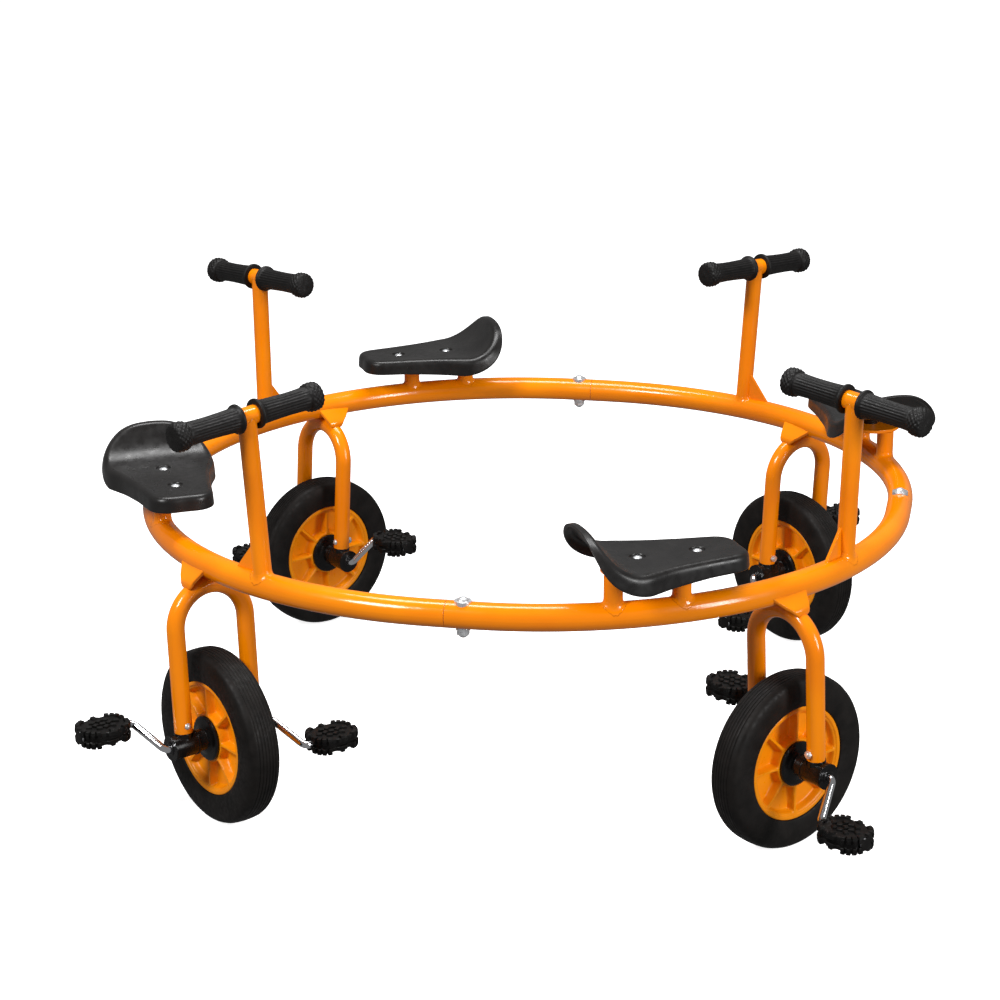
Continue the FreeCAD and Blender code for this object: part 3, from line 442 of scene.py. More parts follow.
# Size of the rounded shoulder and drop of the skirt, as (distance back, size) pairs.
SEAT_SHOULDER = ((0, 9), (120, 9), (180, 11.5), (215, 10.5), (251, 8.5))
SEAT_SKIRT = ((0, 24), (60, 25), (168, 31), (205, 25), (232, 17), (251, 13))
SEAT_DISH = 1.2
SEAT_DISH_POWER = 4
SEAT_HALF_OUTLINE = (
    (0, 0), (26, 0), (39, 11), (43, 28), (46, 48), (49, 68), (53, 88), (57, 108), (62, 128),
    (68, 148), (74, 166), (77, 184), (76, 201), (70, 217), (59, 231), (44, 242), (25, 249), (0, 251),
)
SEAT_OUTLINE_STEPS = 3
SEAT_PAN_SHARES = (0.1, 0.25, 0.42, 0.6, 0.76, 0.88, 0.96)
SEAT_SHOULDER_TURNS = (0, 22, 45, 68, 90)
# (reach, drop, inset) rows of the skirt, down its outside and up its inside. Reach is
# in shoulders and inset in walls. Drop is 1 at the shoulder's foot, 2 at the skirt's.
SEAT_SKIRT_ROWS = (
    (1.04, 1.4, 0.0), (1.1, 1.88, 0.0), (1.1, 1.98, 0.0), (1.02, 2.05, 0.0),
    (1.02, 2.05, 0.7), (1.06, 1.96, 1.0), (1.0, 1.4, 1.0), (0.95, 0.9, 1.0),
)

# Each bolt sits this far from the pan's middle, its head this much below the pan.
SEAT_BOLT_OFFSET = 46.0
SEAT_HEAD_DROP = 0.8
BOLT_TURNS = 32
# (height, radius) rows of the cutter for a bolt's recess and hole.
RECESS_PROFILE = ((12.0, 15.5), (0.0, 13.6), (-1.2, 12.0), (-5.0, 11.5), (-5.0, 4.4), (-14.0, 4.4))
# Bosses and stiffening ribs under the pan. A rib's end is its (right, ahead) place.
BOSS_TOP = -3.0
BOSS_RADII = (15.5, 13.0)
BOSS_BORE = 4.6
RIB_TOP = -4.0
RIB_HALF_WALL = 1.4
RIB_DRAFT_SHARE = 0.7
SIDE_RIB_REAR = (44, -66)
SIDE_RIB_FRONT = (30, 84)
SIDE_RIB_DEPTH = 15
MIDDLE_RIB_HALF_LENGTH = 30
MIDDLE_RIB_DEPTH = 12


def along_table(value, table):
    """Straight-line reading of a table of (place, value) pairs."""
    for (start, first), (end, last) in zip(table, table[1:]):
        if value <= end:
            return first + (last - first) * max(value - start, 0) / (end - start)
    return table[-1][1]


def seat_point(right, back, rise):
    """Point on the seat's sheet, measured back from its front, raised along its normal."""
    ahead, up, lean = SEAT_FRONT - back, 0.0, 0.0
    if back > SEAT_FLAT:
        lean = min((back - SEAT_FLAT) / SEAT_CURVE_RADIUS, SEAT_CURVE)
        onward = max(back - SEAT_FLAT - SEAT_CURVE_RADIUS * SEAT_CURVE, 0.0)
        ahead = SEAT_FRONT - SEAT_FLAT - SEAT_CURVE_RADIUS * math.sin(lean) - onward * math.cos(lean)
        up = SEAT_CURVE_RADIUS * (1 - math.cos(lean)) + onward * math.sin(lean)
    return Vector((right, ahead + rise * math.sin(lean), up + rise * math.cos(lean))) * MM


def curve_through(points, steps):
    """Smooth (Catmull-Rom) open line through the points, with steps between them."""
    points = [Vector(p) for p in points]
    ends = [points[0] * 2 - points[1]] + points + [points[-1] * 2 - points[-2]]
    line = []
    for index in range(1, len(ends) - 2):
        a, b, c, d = ends[index - 1:index + 3]
        for step in range(steps):
            u = step / steps
            line.append((2 * b + (c - a) * u + (2 * a - 5 * b + 4 * c - d) * u ** 2
                         + (3 * b - a - 3 * c + d) * u ** 3) / 2)
    return line + [points[-1]]


def seat_outline():
    """Closed outline of the pan with its outward directions."""
    half = curve_through(SEAT_HALF_OUTLINE, SEAT_OUTLINE_STEPS)
    loop = half + [Vector((-p.x, p.y)) for p in reversed(half[1:-1])]
    outward = []
    for index in range(len(loop)):
        along = loop[(index + 1) % len(loop)] - loop[index - 1]
        outward.append(Vector((along.y, -along.x)).normalized())
    return loop, outward


def seat_shape():
    """Hollow moulding: dished pan, rounded shoulder, skirt, lip and underside."""
    loop, outward = seat_outline()
    middle = Vector((0, SEAT_MIDDLE))

    def inner_ring(share, rise):
        spots = [middle + (spot - middle) * share for spot in loop]
        return [seat_point(spot.x, spot.y, rise) for spot in spots]

    def outer_ring(reach, drop, inset=0.0):
        """Ring past the outline, in the same terms as the rows of the skirt."""
        ring = []
        for spot, out in zip(loop, outward):
            shoulder = along_table(spot.y, SEAT_SHOULDER)
            skirt = along_table(spot.y, SEAT_SKIRT)
            moved = spot + out * (shoulder * reach - SEAT_WALL * inset)
            fall = shoulder * min(drop, 1.0) + (skirt - shoulder) * max(drop - 1.0, 0.0)
            ring.append(seat_point(moved.x, moved.y, -fall))
        return ring

    rings = []
    for share in SEAT_PAN_SHARES:
        rings.append(inner_ring(share, -SEAT_DISH * (1 - share ** SEAT_DISH_POWER)))
    for degrees in SEAT_SHOULDER_TURNS:
        turn = math.radians(degrees)
        rings.append(outer_ring(math.sin(turn), 1 - math.cos(turn)))
    rings += [outer_ring(*row) for row in SEAT_SKIRT_ROWS]
    rings += [inner_ring(share, -SEAT_WALL - SEAT_DISH) for share in reversed(SEAT_PAN_SHARES)]
    return skin(rings, (True, True))


def bolt_rings(profile, side):
    """Closed rings about the upright line of one bolt, from (height, radius) rows."""
    centre = ONWARD * side * SEAT_BOLT_OFFSET * MM
    return [[centre + Vector((p.y, -p.z, p.x)) for p in ring] for ring in lathe(profile, BOLT_TURNS)]


def recess_tool():
    """Stepped cutters for the two bolt recesses and the holes under them."""
    return joined([skin(bolt_rings(RECESS_PROFILE, side), (True, True)) for side in (-1, 1)])


def bolt_boss(side, depth):
    """Tapered tube under the pan, down to the steel plate."""
    wide, narrow = BOSS_RADII
    profile = ((BOSS_TOP, wide), (-depth, narrow), (-depth, BOSS_BORE), (BOSS_TOP, BOSS_BORE))
    return skin(bolt_rings(profile, side), around=True)


def under_rib(start, end, depth):
    """Stiffening wall on the underside, from one (x, y) point to another."""
    a = Vector((*start, RIB_TOP)) * MM
    b = Vector((*end, RIB_TOP)) * MM
    side = (b - a).cross(UP).normalized() * RIB_HALF_WALL * MM
    thin = side * RIB_DRAFT_SHARE
    rings = []
    for point in (a, b):
        low = point - UP * depth * MM
        rings.append([point - side, point + side, low + thin, low - thin])
    return skin(rings, (True, True))


def seat_parts(boss_depth):
    parts = [recess_cut("seat_blank", seat_shape(), recess_tool(), smoothing=1)]
    parts += [bolt_boss(side, boss_depth) for side in (-1, 1)]
    for side in (-1, 1):
        rear = (side * SIDE_RIB_REAR[0], SIDE_RIB_REAR[1])
        front = (side * SIDE_RIB_FRONT[0], SIDE_RIB_FRONT[1])
        parts.append(under_rib(rear, front, SIDE_RIB_DEPTH))
    parts.append(under_rib((0, -MIDDLE_RIB_HALF_LENGTH), (0, MIDDLE_RIB_HALF_LENGTH), MIDDLE_RIB_DEPTH))
    return parts


def make_seats():
    """Moulded shells on their plates, each in the place of its CAD solid."""
    pan_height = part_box("seat_bolts")[1].z + SEAT_HEAD_DROP * MM
    plate_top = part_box("seat_plates")[1].z
    parts = seat_parts((pan_height - plate_top) / MM)
    mesh = shared_mesh("seat_shell", joined(parts), "seat_plastic", sharp_deg=50)
    for index in range(STATIONS):
        rear, front = twin_middles("seat_bolts", index, ONWARD)
        origin = (rear + front) / 2
        origin.z = pan_height
        across = (front - rear).cross(UP)
        place = station_turn(index) @ frame_matrix(origin, across, UP)
        place_piece("seat_shell_%d" % index, mesh, "frame", place, "seat_%d" % index)


# ------------------------------------------------------------ grips

# Millimetres along the crossbar from the post, and radii.
GRIP_FLUTES = 24
GRIP_STEPS = 7
FLUTE_DEPTH = 1.0
FLUTE_START = (22.0, 26.0)
FLUTE_END = (100.0, 106.0)
GRIP_BORE_FLOOR = 123.7
GRIP_BORE = 14.2
GRIP_BODY = (
    (15.0, GRIP_BORE), (15.0, 20.2), (15.5, 21.5), (16.6, 22.3), (18.2, 22.4), (19.8, 22.0),
    (21.0, 20.6), (22.0, 19.2), (24.0, 18.6), (28.0, 18.3), (33.0, 18.0), (45.0, 17.5), (60.0, 17.1),
    (75.0, 16.9), (88.0, 17.1), (98.0, 17.5), (104.0, 17.8), (106.5, 17.9),
)
KNOB_START = 108.0
KNOB_MIDDLE = 119.5
KNOB_REACH = 13.0
KNOB_RADIUS = 22.4
KNOB_SQUARENESS = 4
KNOB_ROWS = 20
KNOB_ROW_STEP = 1.2
KNOB_END_RADII = (16.5, 14.4, 12.3, 10.2, 8.1, 6.0, 3.9, 1.8)
STUD_COUNT = 16
STUD_PITCH = 7.2
STUD_HEIGHT = 1.9
STUD_START_LENGTH = 4.0
END_STUD_SHARE = 0.6
END_STUD_FADE = (1.0, 6.0)


def knob_share(share):
    """Half-axis share of a rounded square, from its other half-axis share."""
    return (1 - abs(share) ** KNOB_SQUARENESS) ** (1 / KNOB_SQUARENESS)


def grip_shape():
    """Rubber grip along X: flange, fluted waisted body and a studded knob."""
    turns = GRIP_FLUTES * GRIP_STEPS
    angles = [2 * math.pi * step / turns for step in range(turns)]
    rings = lathe(((GRIP_BORE_FLOOR, GRIP_BORE),), turns)

    def add_ring(place):
        spots = [(angle, *place(angle)) for angle in angles]
        rings.append([Vector((x, r * math.cos(a), r * math.sin(a))) * MM for a, x, r in spots])

    def stud(angle, travel):
        row = math.cos(2 * math.pi * travel / STUD_PITCH)
        return STUD_HEIGHT * (row * math.cos(STUD_COUNT * angle) - 1) / 2

    for along, radius in GRIP_BODY:
        flute = FLUTE_DEPTH * smooth_step(along, *FLUTE_START) * (1 - smooth_step(along, *FLUTE_END))
        add_ring(lambda a: (along, radius - flute * (1 + math.cos(GRIP_FLUTES * a)) / 2))
    for row in range(KNOB_ROWS):
        along = KNOB_START + KNOB_ROW_STEP * row
        radius = KNOB_RADIUS * knob_share((along - KNOB_MIDDLE) / KNOB_REACH)
        rise = smooth_step(along, KNOB_START, KNOB_START + STUD_START_LENGTH)
        add_ring(lambda a: (along, radius + rise * stud(a, along - KNOB_MIDDLE)))
    for radius in KNOB_END_RADII:
        along = KNOB_MIDDLE + KNOB_REACH * knob_share(radius / KNOB_RADIUS)
        rise = END_STUD_SHARE * smooth_step(radius, *END_STUD_FADE)
        add_ring(lambda a: (along + rise * stud(a, radius), radius))
    return skin(rings, (True, True))


def make_grips():
    mesh = shared_mesh("handlebar_grip", grip_shape(), "grip_rubber", sharp_deg=60)
    for index in range(STATIONS):
        turn = station_turn(index)
        inner, outer = twin_middles("handlebar_crossbars", index, OUTWARD)
        middle = (inner + outer) / 2
        for side, end in (("inner", inner), ("outer", outer)):
            place = turn @ frame_matrix(middle, end - middle, UP)
            place_piece("%s_grip_%d" % (side, index), mesh, "frame", place,
                        "handlebar_grips_%d" % index)


# ------------------------------------------------------------ pedals

# Millimetres from the pedal's middle, X along its pin and Z up.
PEDAL_HALF_LENGTH = 41.4
PEDAL_HALF_WIDTH = 32.9
PEDAL_CORNER = 27.0
# How quickly the outline's corners turn into its sides.
CORNER_SPREAD = 4
PEDAL_DECK = 10.4
PEDAL_NOTCHES = 18
NOTCH_STEPS = 8
NOTCH_DEPTH = 3.4
# Where a notch starts and is at full depth, on a wave of +-1 round the outline.
NOTCH_WAVE = (0.15, 0.75)
# (height, inset, share of the notches): tread plate, plain groove, tread plate.
PEDAL_ROWS = (
    (-PEDAL_DECK, 1.2, 1), (-PEDAL_DECK + 1.0, 0.3, 1), (-4.2, 0.0, 1), (-3.2, 0.8, 1),
    (-3.0, 5.0, 0), (3.0, 5.0, 0), (3.2, 0.8, 1), (4.2, 0.0, 1),
    (PEDAL_DECK - 1.0, 0.3, 1), (PEDAL_DECK, 1.2, 1),
)
PEDAL_TURNS = 28
PEDAL_BORE = 6.06
PEDAL_RECESS_DEPTH = 5.2
PEDAL_RECESS_RADIUS = 10.0
BORE_TOOL_REACH = 60.0
PEDAL_CAP = ((40.7, 5.0), (40.7, 9.9), (41.1, 9.9), (41.35, 9.0), (41.35, 2.0))
# (height, shrink) rows of a tread block, and the half sizes of the two kinds of block.
BLOCK_ROWS = ((9.8, 0.0), (13.25, 0.7), (13.95, 1.5))
BORDER_BLOCK = (4.2, 3.9)
BORDER_INSET = 4.6
FIELD_BLOCK = (5.0, 4.0)
FIELD_PITCH = (11.6, 12.0)
FIELD_TURN = math.radians(28)


def pedal_edge(share, inset):
    """Point on the pedal's rounded outline, a share of the way round it."""
    angle = 2 * math.pi * share
    out = Vector((math.cos(angle), math.sin(angle), 0))
    length = math.copysign(PEDAL_HALF_LENGTH - PEDAL_CORNER, out.x)
    width = math.copysign(PEDAL_HALF_WIDTH - PEDAL_CORNER, out.y)
    corner = Vector((length * min(1, abs(out.x) * CORNER_SPREAD),
                     width * min(1, abs(out.y) * CORNER_SPREAD), 0))
    return corner + out * (PEDAL_CORNER - inset)


def pedal_blank():
    """Two notched tread plates with a plain groove between them, as one solid."""
    count = PEDAL_NOTCHES * NOTCH_STEPS
    rings = []
    for height, inset, notched in PEDAL_ROWS:
        ring = []
        for step in range(count):
            share = step / count
            wave = math.cos(2 * math.pi * share * PEDAL_NOTCHES)
            notch = NOTCH_DEPTH * smooth_step(wave, *NOTCH_WAVE) * notched
            ring.append((pedal_edge(share, inset + notch) + UP * height) * MM)
        rings.append(ring)
    return skin(rings, (True, True))


def pedal_bore_tool():
    """Cutter for the pin's bore and the recess at its outer end."""
    floor = PEDAL_HALF_LENGTH - PEDAL_RECESS_DEPTH
    profile = ((-BORE_TOOL_REACH, PEDAL_BORE), (floor, PEDAL_BORE),
               (floor, PEDAL_RECESS_RADIUS), (BORE_TOOL_REACH, PEDAL_RECESS_RADIUS))
    return skin(lathe(profile, PEDAL_TURNS), (True, True))


def tread_block(centre, half_size, face, turn):
    """Raised block with drafted sides on one face of the pedal."""
    half_x, half_y = half_size
    rings = []
    for height, shrink in BLOCK_ROWS:
        ring = []
        for x, y in ((-1, -1), (1, -1), (1, 1), (-1, 1)):
            corner = Vector((x * (half_x - shrink), y * (half_y - shrink), 0))
            corner = Matrix.Rotation(turn, 3, "Z") @ corner + centre
            ring.append(Vector((corner.x, corner.y * face, height * face)) * MM)
        rings.append(ring)
    return skin(rings, (True, True))


def face_blocks(face):
    """Tread blocks of one face: a border, and a field whose blocks lean by turns."""
    blocks = []
    for index in range(PEDAL_NOTCHES):
        share = (index + 0.5) / PEDAL_NOTCHES
        centre = pedal_edge(share, BORDER_INSET)
        blocks.append(tread_block(centre, BORDER_BLOCK, face, 2 * math.pi * share))
    for column in range(-2, 3):
        rows = (0,) if abs(column) == 2 else (-1, 0, 1)
        for row in rows:
            turn = FIELD_TURN if (column + row) % 2 else -FIELD_TURN
            centre = Vector((column * FIELD_PITCH[0], row * FIELD_PITCH[1], 0))
            blocks.append(tread_block(centre, FIELD_BLOCK, face, turn))
    return blocks


def pedal_shape():
    parts = [recess_cut("pedal_blank", pedal_blank(), pedal_bore_tool())]
    parts.append(skin(lathe(PEDAL_CAP, PEDAL_TURNS), (True, True)))
    return joined(parts + face_blocks(-1) + face_blocks(1))


def make_pedals():
    mesh = shared_mesh("pedal_block", pedal_shape(), "pedal_plastic", sharp_deg=30)
    for index in range(STATIONS):
        for side, flip in (("outer", 0.0), ("inner", math.pi)):
            node = "%s_pedal_%d" % (side, index)
            low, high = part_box(node)
            turn = station_turn(index) @ Matrix.Rotation(flip, 4, "Z")
            place = Matrix.Translation((low + high) / 2) @ turn
            place_piece("%s_pedal_block_%d" % (side, index), mesh,
                        "%s_pedal_body_%d" % (side, index), place, node)


# ------------------------------------------------------------ wheels

# Millimetres along the axle from the wheel's middle, and radii.
RIM_RIBS = 8
RIM_RIB_STEPS = 28
RIM_FACE = 21.0
RIM_POCKET_START = (37.5, 42.0)
RIM_POCKET_END = (76.0, 81.5)
RIM_POCKET_DEPTHS = (15.0, 10.0)
RIM_RIB_DRAFT = (1.8, 6.0)
RIM_RADII = (6.3, 20.0, 33.0, 36.0, 37.5, 38.6, 39.8, 41.0, 42.4, 46.0, 52.0, 58.0, 64.0, 70.0,
             74.0, 76.0, 77.4, 78.8, 80.2, 81.5, 82.3)
RIM_LIP = ((21.6, 83.0), (22.6, 83.6), (23.2, 84.4), (23.4, 85.4),
           (23.4, 88.4), (23.2, 89.3), (22.4, 89.9), (21.0, 90.0))
RIM_SEAT_RADIUS = 87.2


def rim_depth(radius, angle):
    """Half thickness of the rim's web: deep pockets between drafted ribs."""
    pocket = smooth_step(radius, *RIM_POCKET_START) * (1 - smooth_step(radius, *RIM_POCKET_END))
    share = (radius - RIM_POCKET_START[0]) / (RIM_POCKET_END[1] - RIM_POCKET_START[0])
    depth = RIM_POCKET_DEPTHS[0] + (RIM_POCKET_DEPTHS[1] - RIM_POCKET_DEPTHS[0]) * share
    step = 2 * math.pi / RIM_RIBS
    off = abs((angle + step / 2) % step - step / 2) * radius
    rib = 1 - smooth_step(off, *RIM_RIB_DRAFT)
    return RIM_FACE - depth * pocket * (1 - rib)


def rim_shape():
    count = RIM_RIBS * RIM_RIB_STEPS
    angles = [2 * math.pi * step / count for step in range(count)]

    def ring(along, radius):
        return [Vector((along(a), radius * math.cos(a), radius * math.sin(a))) * MM for a in angles]

    def face(side):
        rings = [ring(lambda a: side * rim_depth(radius, a), radius) for radius in RIM_RADII]
        rings += [ring(lambda a: side * along, radius) for along, radius in RIM_LIP]
        return rings

    tyre_seat = [ring(lambda a: along, RIM_SEAT_RADIUS) for along in (RIM_FACE, -RIM_FACE)]
    return skin(face(1) + tyre_seat + list(reversed(face(-1))), around=True)


TYRE_HALF_PROFILE = (
    (21.1, 87.3), (21.1, 90.3), (23.8, 90.4), (24.6, 91.2), (25.4, 94.0), (26.4, 98.0), (27.1, 103.0),
    (27.45, 108.0), (27.5, 113.0), (27.3, 118.0), (26.8, 122.5), (26.0, 126.8), (24.8, 130.4),
    (22.8, 133.0), (20.2, 134.9), (17.0, 136.2),
)
TYRE_TURNS = 144
# Gap that keeps the tyre inside the reach of its CAD solid.
TYRE_CLEARANCE = 0.05
TREAD_LINES = (14.0, 8.4, 2.8)
# (half width, depth) rows of one tread line, from its edge to its floor.
TREAD_LINE_ROWS = ((1.5, 0.0), (0.8, 0.25), (0.45, 1.0))
TREAD_CROWN = 0.0056


def tyre_shape(radius):
    """Tyre about X with rounded sidewalls and fine lines round the tread."""
    half = list(TYRE_HALF_PROFILE)
    for line in TREAD_LINES:
        crown = radius - TREAD_CROWN * line * line
        half += [(line + width, crown - depth) for width, depth in TREAD_LINE_ROWS]
        half += [(line - width, crown - depth) for width, depth in reversed(TREAD_LINE_ROWS)]
    half.append((0.0, radius))
    profile = half + [(-along, reach) for along, reach in reversed(half[:-1])]
    return skin(lathe(profile, TYRE_TURNS), around=True)


def make_wheels():
    low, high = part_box("tyre_1")
    radius = (high.z - low.z) / 2 / MM - TYRE_CLEARANCE
    tyre = shared_mesh("tyre_casing", tyre_shape(radius), "tyre_rubber", sharp_deg=60)
    rim = shared_mesh("rim_moulding", rim_shape(), "rim_plastic", sharp_deg=60)
    for index in range(STATIONS):
        body = "wheel_%d" % index
        place = wheel_place(index)
        place_piece("tyre_casing_%d" % index, tyre, body, place, "tyre_%d" % index)
        place_piece("rim_moulding_%d" % index, rim, body, place, "wheel_rim_%d" % index)


SEAL_PROFILE = ((0.0, 6.3), (0.0, 10.6), (0.5, 10.6), (1.0, 10.0), (1.2, 9.2), (1.2, 6.6), (0.9, 6.3))
SEAL_TURNS = 48


def make_seals():
    """Black dust seals over the bush ends, outside each bearing block."""
    seal = skin(lathe(SEAL_PROFILE, SEAL_TURNS), around=True)
    mesh = shared_mesh("bush_seal", seal, "black_plastic", sharp_deg=40)
    for index in range(STATIONS):
        reach = wheel_place(index).inverted() @ station_turn(index)
        ends = [(reach @ p).x for p in station_points("bearing_bushes", index)]
        for side, end, turn in (("inner", min(ends), math.pi), ("outer", max(ends), 0.0)):
            spot = Matrix.Translation(OUTWARD * end) @ Matrix.Rotation(turn, 4, "Z")
            place_piece("%s_bush_seal_%d" % (side, index), mesh, "frame",
                        wheel_place(index) @ spot)


# ------------------------------------------------------------ steel plates

# Millimetres: the eased edge of every plate, and the inner fork gussets' sections as
# (distance up the plate, right, left, top, bottom), seen from the side that they face.
PLATE_EDGE = 1.2
GUSSET_SLOPE = math.radians(47.6)
FORK_RAKE = math.radians(3.3)
GUSSET_FOOT_BAND = 3.0
GUSSET_SECTIONS = (
    (21.0, -9.0, 9.0, -5.4, -8.0), (22.5, -12.0, 12.0, -4.0, -8.0), (26.0, -15.0, 14.0, -2.0, -7.0),
    (31.0, -19.0, 15.5, -0.6, -6.2), (37.0, -25.0, 18.0, -0.1, -6.0), (74.0, -54.0, 31.0, -0.1, -6.0),
)
STRAP_END_TURNS = (20, 35, 50, 65, 90)


def plate(sections):
    """Plate along X from (along, right, left, top, bottom) rows, with eased edges."""
    rings = []
    for along, right, left, top, bottom in sections:
        inner_right = right + PLATE_EDGE
        inner_left = left - PLATE_EDGE
        upper = top - PLATE_EDGE
        lower = bottom + PLATE_EDGE / 2
        corners = (
            (right, lower), (inner_right, bottom), (inner_left, bottom), (left, lower),
            (left, upper), (inner_left, top), (inner_right, top), (right, upper),
        )
        rings.append([Vector((along, y, z)) * MM for y, z in corners])
    return skin(rings, (True, True))


def make_gussets():
    """Web plates from the ring's underside to the fork's shoulders."""
    outer_rows = [(along, -left, -right, top, low) for along, right, left, top, low in GUSSET_SECTIONS]
    lean = Matrix.Rotation(FORK_RAKE, 3, "X")
    side = lean @ ONWARD
    for name, face, rows in (("inner", -1, GUSSET_SECTIONS), ("outer", 1, outer_rows)):
        mesh = shared_mesh("%s_gusset_plate" % name, plate(rows), "frame_paint", sharp_deg=40)
        climb = lean @ Vector((-face * math.cos(GUSSET_SLOPE), 0, math.sin(GUSSET_SLOPE)))
        normal = lean @ Vector((face * math.sin(GUSSET_SLOPE), 0, math.cos(GUSSET_SLOPE)))
        for index in range(STATIONS):
            wheel = joint_place("wheel_spin_%d" % index).xy.length
            points = [p for p in station_points("fork_gussets", index) if (p.x - wheel) * face > 0]
            start = min(p.dot(climb) for p in points)
            height = max(p.dot(normal) for p in points)
            foot = [p.dot(side) for p in points if p.dot(climb) < start + GUSSET_FOOT_BAND * MM]
            origin = climb * start + normal * height + side * (min(foot) + max(foot)) / 2
            place = station_turn(index) @ frame_matrix(origin, climb, normal)
            place_piece("%s_gusset_plate_%d" % (name, index), mesh, "frame", place,
                        "fork_gussets")


def make_seat_plates():
    """Steel straps under the seats, with rounded ends."""
    turns = [math.radians(degrees) for degrees in STRAP_END_TURNS]
    for index in range(STATIONS):
        rear, front = twin_middles("seat_bolts", index, ONWARD)
        base = frame_matrix((rear + front) / 2, front - rear, UP)
        low, high = span_of([base.inverted() @ p / MM for p in station_points("seat_plates", index)])
        half = (high.y - low.y) / 2
        insets = [(half * (1 - math.cos(a)), half * math.sin(a)) for a in turns]
        ends = [(low.x + inset, reach) for inset, reach in insets]
        ends += [(high.x - inset, reach) for inset, reach in reversed(insets)]
        rows = [(along, -reach, reach, high.z, low.z) for along, reach in ends]
        mesh = shared_mesh("seat_plate_%d" % index, plate(rows), "frame_paint", sharp_deg=40)
        place_piece("seat_strap_%d" % index, mesh, "frame",
                    station_turn(index) @ base, "seat_plates")


# ------------------------------------------------------------ welds

# Sizes in metres, and shares of the fillet's reach. The bead's root, toe and head are
# sunk a little into the tubes, and its face stands a little proud of a hollow arc.
SMALL_TUBE_RADIUS = 14.0 * MM
WELD_REACH = 6.5 * MM
WELD_TOE_SHARE = 0.8
WELD_HOLLOW = 0.55
WELD_ARC = (0.0, 0.25, 0.5, 0.75, 1.0)
WELD_STEPS = 72
WELD_RIPPLES = 18
WELD_RIPPLE_SHARE = 0.05
WELD_TOE_SINK = 0.1 * MM
WELD_HEAD_SINK = 0.3 * MM
WELD_STAND = 0.15 * MM
WELD_ROOT_INSET = 0.6 * MM
WELD_ROOT_SINK = 1.0 * MM
HALVINGS = 30
# Height of a post's mesh that is read as its foot.
POST_FOOT_BAND = 20 * MM


def ring_gap(point, index):
    """Distance of a point from the ring tube's surface."""
    centre = bend_centre(index)
    flat = math.hypot(point.x - centre.x, point.y - centre.y) - RING_BEND_RADIUS
    return math.hypot(flat, point.z - RING_HEIGHT) - RING_TUBE


def meet_ring(base, axis, index, sink):
    """Point where a line from inside the ring tube leaves it, sunk by a little."""
    low, high = 0.0, 2 * RING_TUBE
    for _ in range(HALVINGS):
        middle = (low + high) / 2
        if ring_gap(base + axis * middle, index) < -sink:
            low = middle
        else:
            high = middle
    return base + axis * high


def weld_fillet(foot, axis, index):
    """Flared bead round a small tube that stands on the ring."""
    axis = axis.normalized()
    across = axis.orthogonal().normalized()
    side = axis.cross(across)
    columns = []
    for step in range(WELD_STEPS):
        angle = 2 * math.pi * step / WELD_STEPS
        out = across * math.cos(angle) + side * math.sin(angle)
        reach = WELD_REACH * (1 + WELD_RIPPLE_SHARE * math.sin(angle * WELD_RIPPLES))
        toe_radius = SMALL_TUBE_RADIUS + reach * WELD_TOE_SHARE
        corner = meet_ring(foot + out * SMALL_TUBE_RADIUS, axis, index, 0)
        toe = meet_ring(foot + out * toe_radius, axis, index, WELD_TOE_SINK)
        root = meet_ring(foot + out * (SMALL_TUBE_RADIUS - WELD_ROOT_INSET), axis, index, WELD_ROOT_SINK)
        head = corner + axis * reach
        column = [head - out * WELD_HEAD_SINK]
        for u in WELD_ARC:
            pull = (corner - (head + toe) / 2) * (4 * u * (1 - u)) * WELD_HOLLOW
            column.append(head.lerp(toe, u) + pull + out * WELD_STAND)
        columns.append(column + [root])
    return skin(list(zip(*columns)), around=True)


def place_weld(name, foot, axis, index):
    mesh = shared_mesh(name, weld_fillet(foot, axis, index), "frame_paint", sharp_deg=70)
    place_piece(name, mesh, "frame", Matrix())


def make_welds():
    """Fillets of the posts and seat stubs on the ring."""
    for index in range(STATIONS):
        turn = station_turn(index)
        posts = station_points("handlebar_posts", index)
        low_edge = min(p.z for p in posts)
        bottom = middle_of([p for p in posts if p.z < low_edge + POST_FOOT_BAND])
        inner, outer = twin_middles("handlebar_crossbars", index, OUTWARD)
        axis = (inner + outer) / 2 - bottom
        foot = bottom + axis * ((RING_HEIGHT - bottom.z) / axis.z)
        place_weld("post_weld_%d" % index, turn @ foot, turn.to_3x3() @ axis, index)
        for name, stub in zip(("rear", "front"), twin_middles("seat_stubs", index, ONWARD)):
            foot = turn @ Vector((stub.x, stub.y, RING_HEIGHT))
            place_weld("%s_stub_weld_%d" % (name, index), foot, UP, index)


# ------------------------------------------------------------ floor, lights, camera

FLOOR_HALF = 40.0
FLOOR_TONES = ((0.90, 0.90, 0.90), (0.92, 0.92, 0.92))
FLOOR_TONE_SIZE = 800
FLOOR_GLOW = 0.85
WHITE = (1.0, 1.0, 1.0, 1.0)


def make_floor():
    """Pale floor that casts no light of its own on the object."""
    corners = [(x * FLOOR_HALF, y * FLOOR_HALF, 0) for x, y in ((-1, -1), (1, -1), (1, 1), (-1, 1))]
    floor = add_object("floor", bare_mesh("floor", corners, [(0, 1, 2, 3)]))
    material, tree, shader = new_material(
        "pale_floor", FLOOR_TONES[0], roughness=0.7, metallic=0.0, specular=0.2)
    tone = ranged(tree, cloud(tree, FLOOR_TONE_SIZE, 3.0), 0.0, 1.0)
    tree.links.new(mixed_colour(tree, tone, *FLOOR_TONES), shader.inputs["Base Color"])
    shader.inputs["Emission Color"].default_value = WHITE
    shader.inputs["Emission Strength"].default_value = FLOOR_GLOW
    floor.data.materials.append(material)
    floor.visible_diffuse = False
    floor.visible_glossy = False


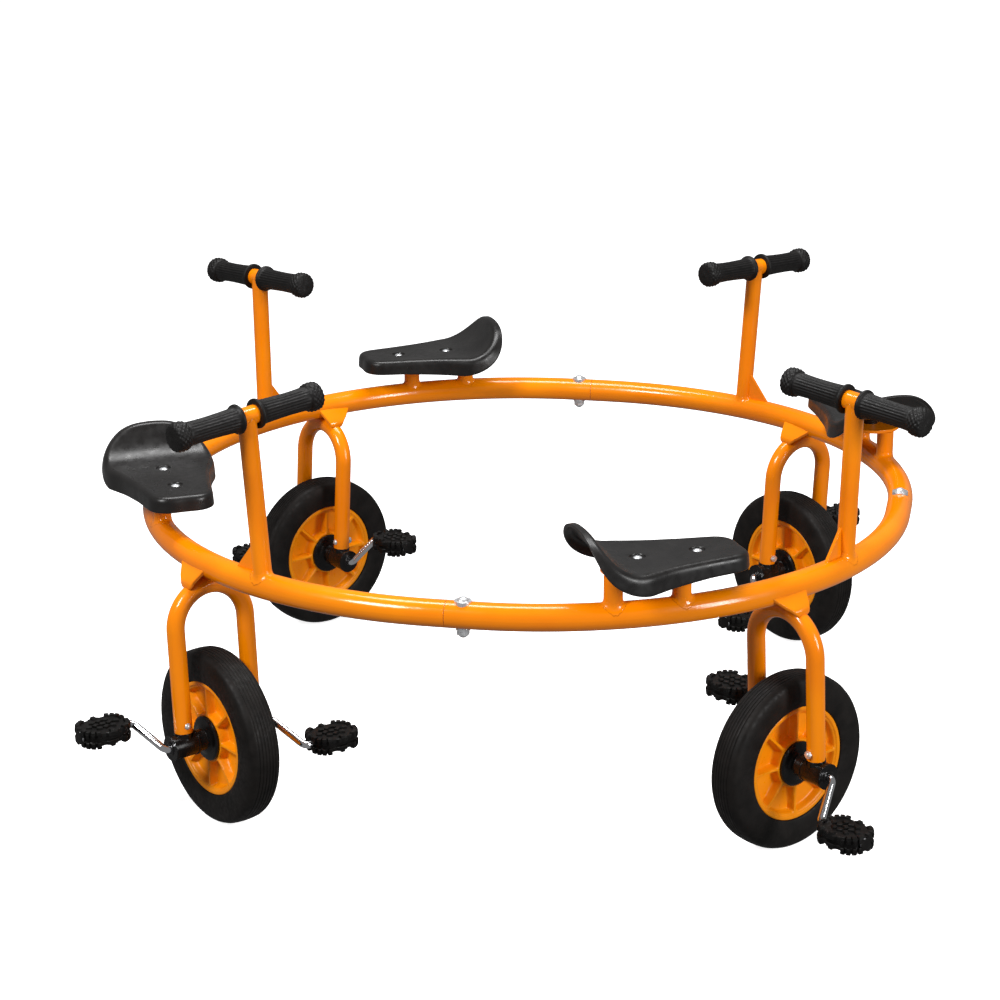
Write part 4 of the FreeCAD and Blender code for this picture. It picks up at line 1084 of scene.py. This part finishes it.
# Metres, as (right, towards the camera, up), and turns from looking level at the middle.
CAMERA_AZIMUTH = math.radians(-38.4)
CAMERA_PLACE = (-0.0379, 3.9651, 1.6861)
CAMERA_PITCH = math.radians(18.084)
CAMERA_YAW = math.radians(-0.147)
CAMERA_ROLL = math.radians(0.305)
CAMERA_SENSOR = 36.0
CAMERA_LENS = 90.79


def from_camera_side(across, back, up):
    """Point right of the object's middle, towards the camera from it, and up."""
    right = Vector((math.cos(CAMERA_AZIMUTH), math.sin(CAMERA_AZIMUTH), 0))
    ahead = Vector((-math.sin(CAMERA_AZIMUTH), math.cos(CAMERA_AZIMUTH), 0))
    return right * across - ahead * back + UP * up


def aimed(place, direction, roll=0.0):
    """Place of a camera or light that looks in one direction, rolled about it."""
    level = direction.to_track_quat("-Z", "Y").to_matrix().to_4x4()
    return Matrix.Translation(place) @ Matrix.Rotation(roll, 4, direction) @ level


def make_camera():
    data = bpy.data.cameras.new("camera")
    data.sensor_width = CAMERA_SENSOR
    data.lens = CAMERA_LENS
    camera = add_object("camera", data)
    across = math.sin(CAMERA_YAW) * math.cos(CAMERA_PITCH)
    ahead = math.cos(CAMERA_YAW) * math.cos(CAMERA_PITCH)
    aim = from_camera_side(across, -ahead, -math.sin(CAMERA_PITCH))
    camera.matrix_world = aimed(from_camera_side(*CAMERA_PLACE), aim, CAMERA_ROLL)
    bpy.context.scene.camera = camera


# Softboxes as (name, place in the camera's terms, size, power).
SOFTBOXES = (
    ("key", (-2.2, 2.4, 3.0), (1.0, 1.0), 125),
    ("fill", (3.0, 2.6, 1.5), (0.8, 1.6), 96),
    ("top", (0.0, -0.5, 3.6), (2.6, 0.9), 118),
)
SOFTBOX_AIM_HEIGHT = 0.3
WORLD_STRENGTH = 0.22


def make_lights():
    """Softboxes aimed at the object, a dim even surround and plain display colours."""
    world = bpy.data.worlds.new("studio")
    bpy.context.scene.world = world
    world.use_nodes = True
    background = world.node_tree.nodes["Background"]
    background.inputs["Color"].default_value = WHITE
    background.inputs["Strength"].default_value = WORLD_STRENGTH
    for name, spot, size, power in SOFTBOXES:
        data = bpy.data.lights.new(name, "AREA")
        data.shape = "RECTANGLE"
        data.size, data.size_y = size
        data.energy = power
        place = from_camera_side(*spot)
        add_object(name, data).matrix_world = aimed(place, UP * SOFTBOX_AIM_HEIGHT - place)
    bpy.context.scene.view_settings.view_transform = "Standard"


dress_frame()
make_seats()
make_grips()
make_pedals()
make_wheels()
make_seals()
make_gussets()
make_seat_plates()
make_welds()
make_floor()
make_lights()
make_camera()
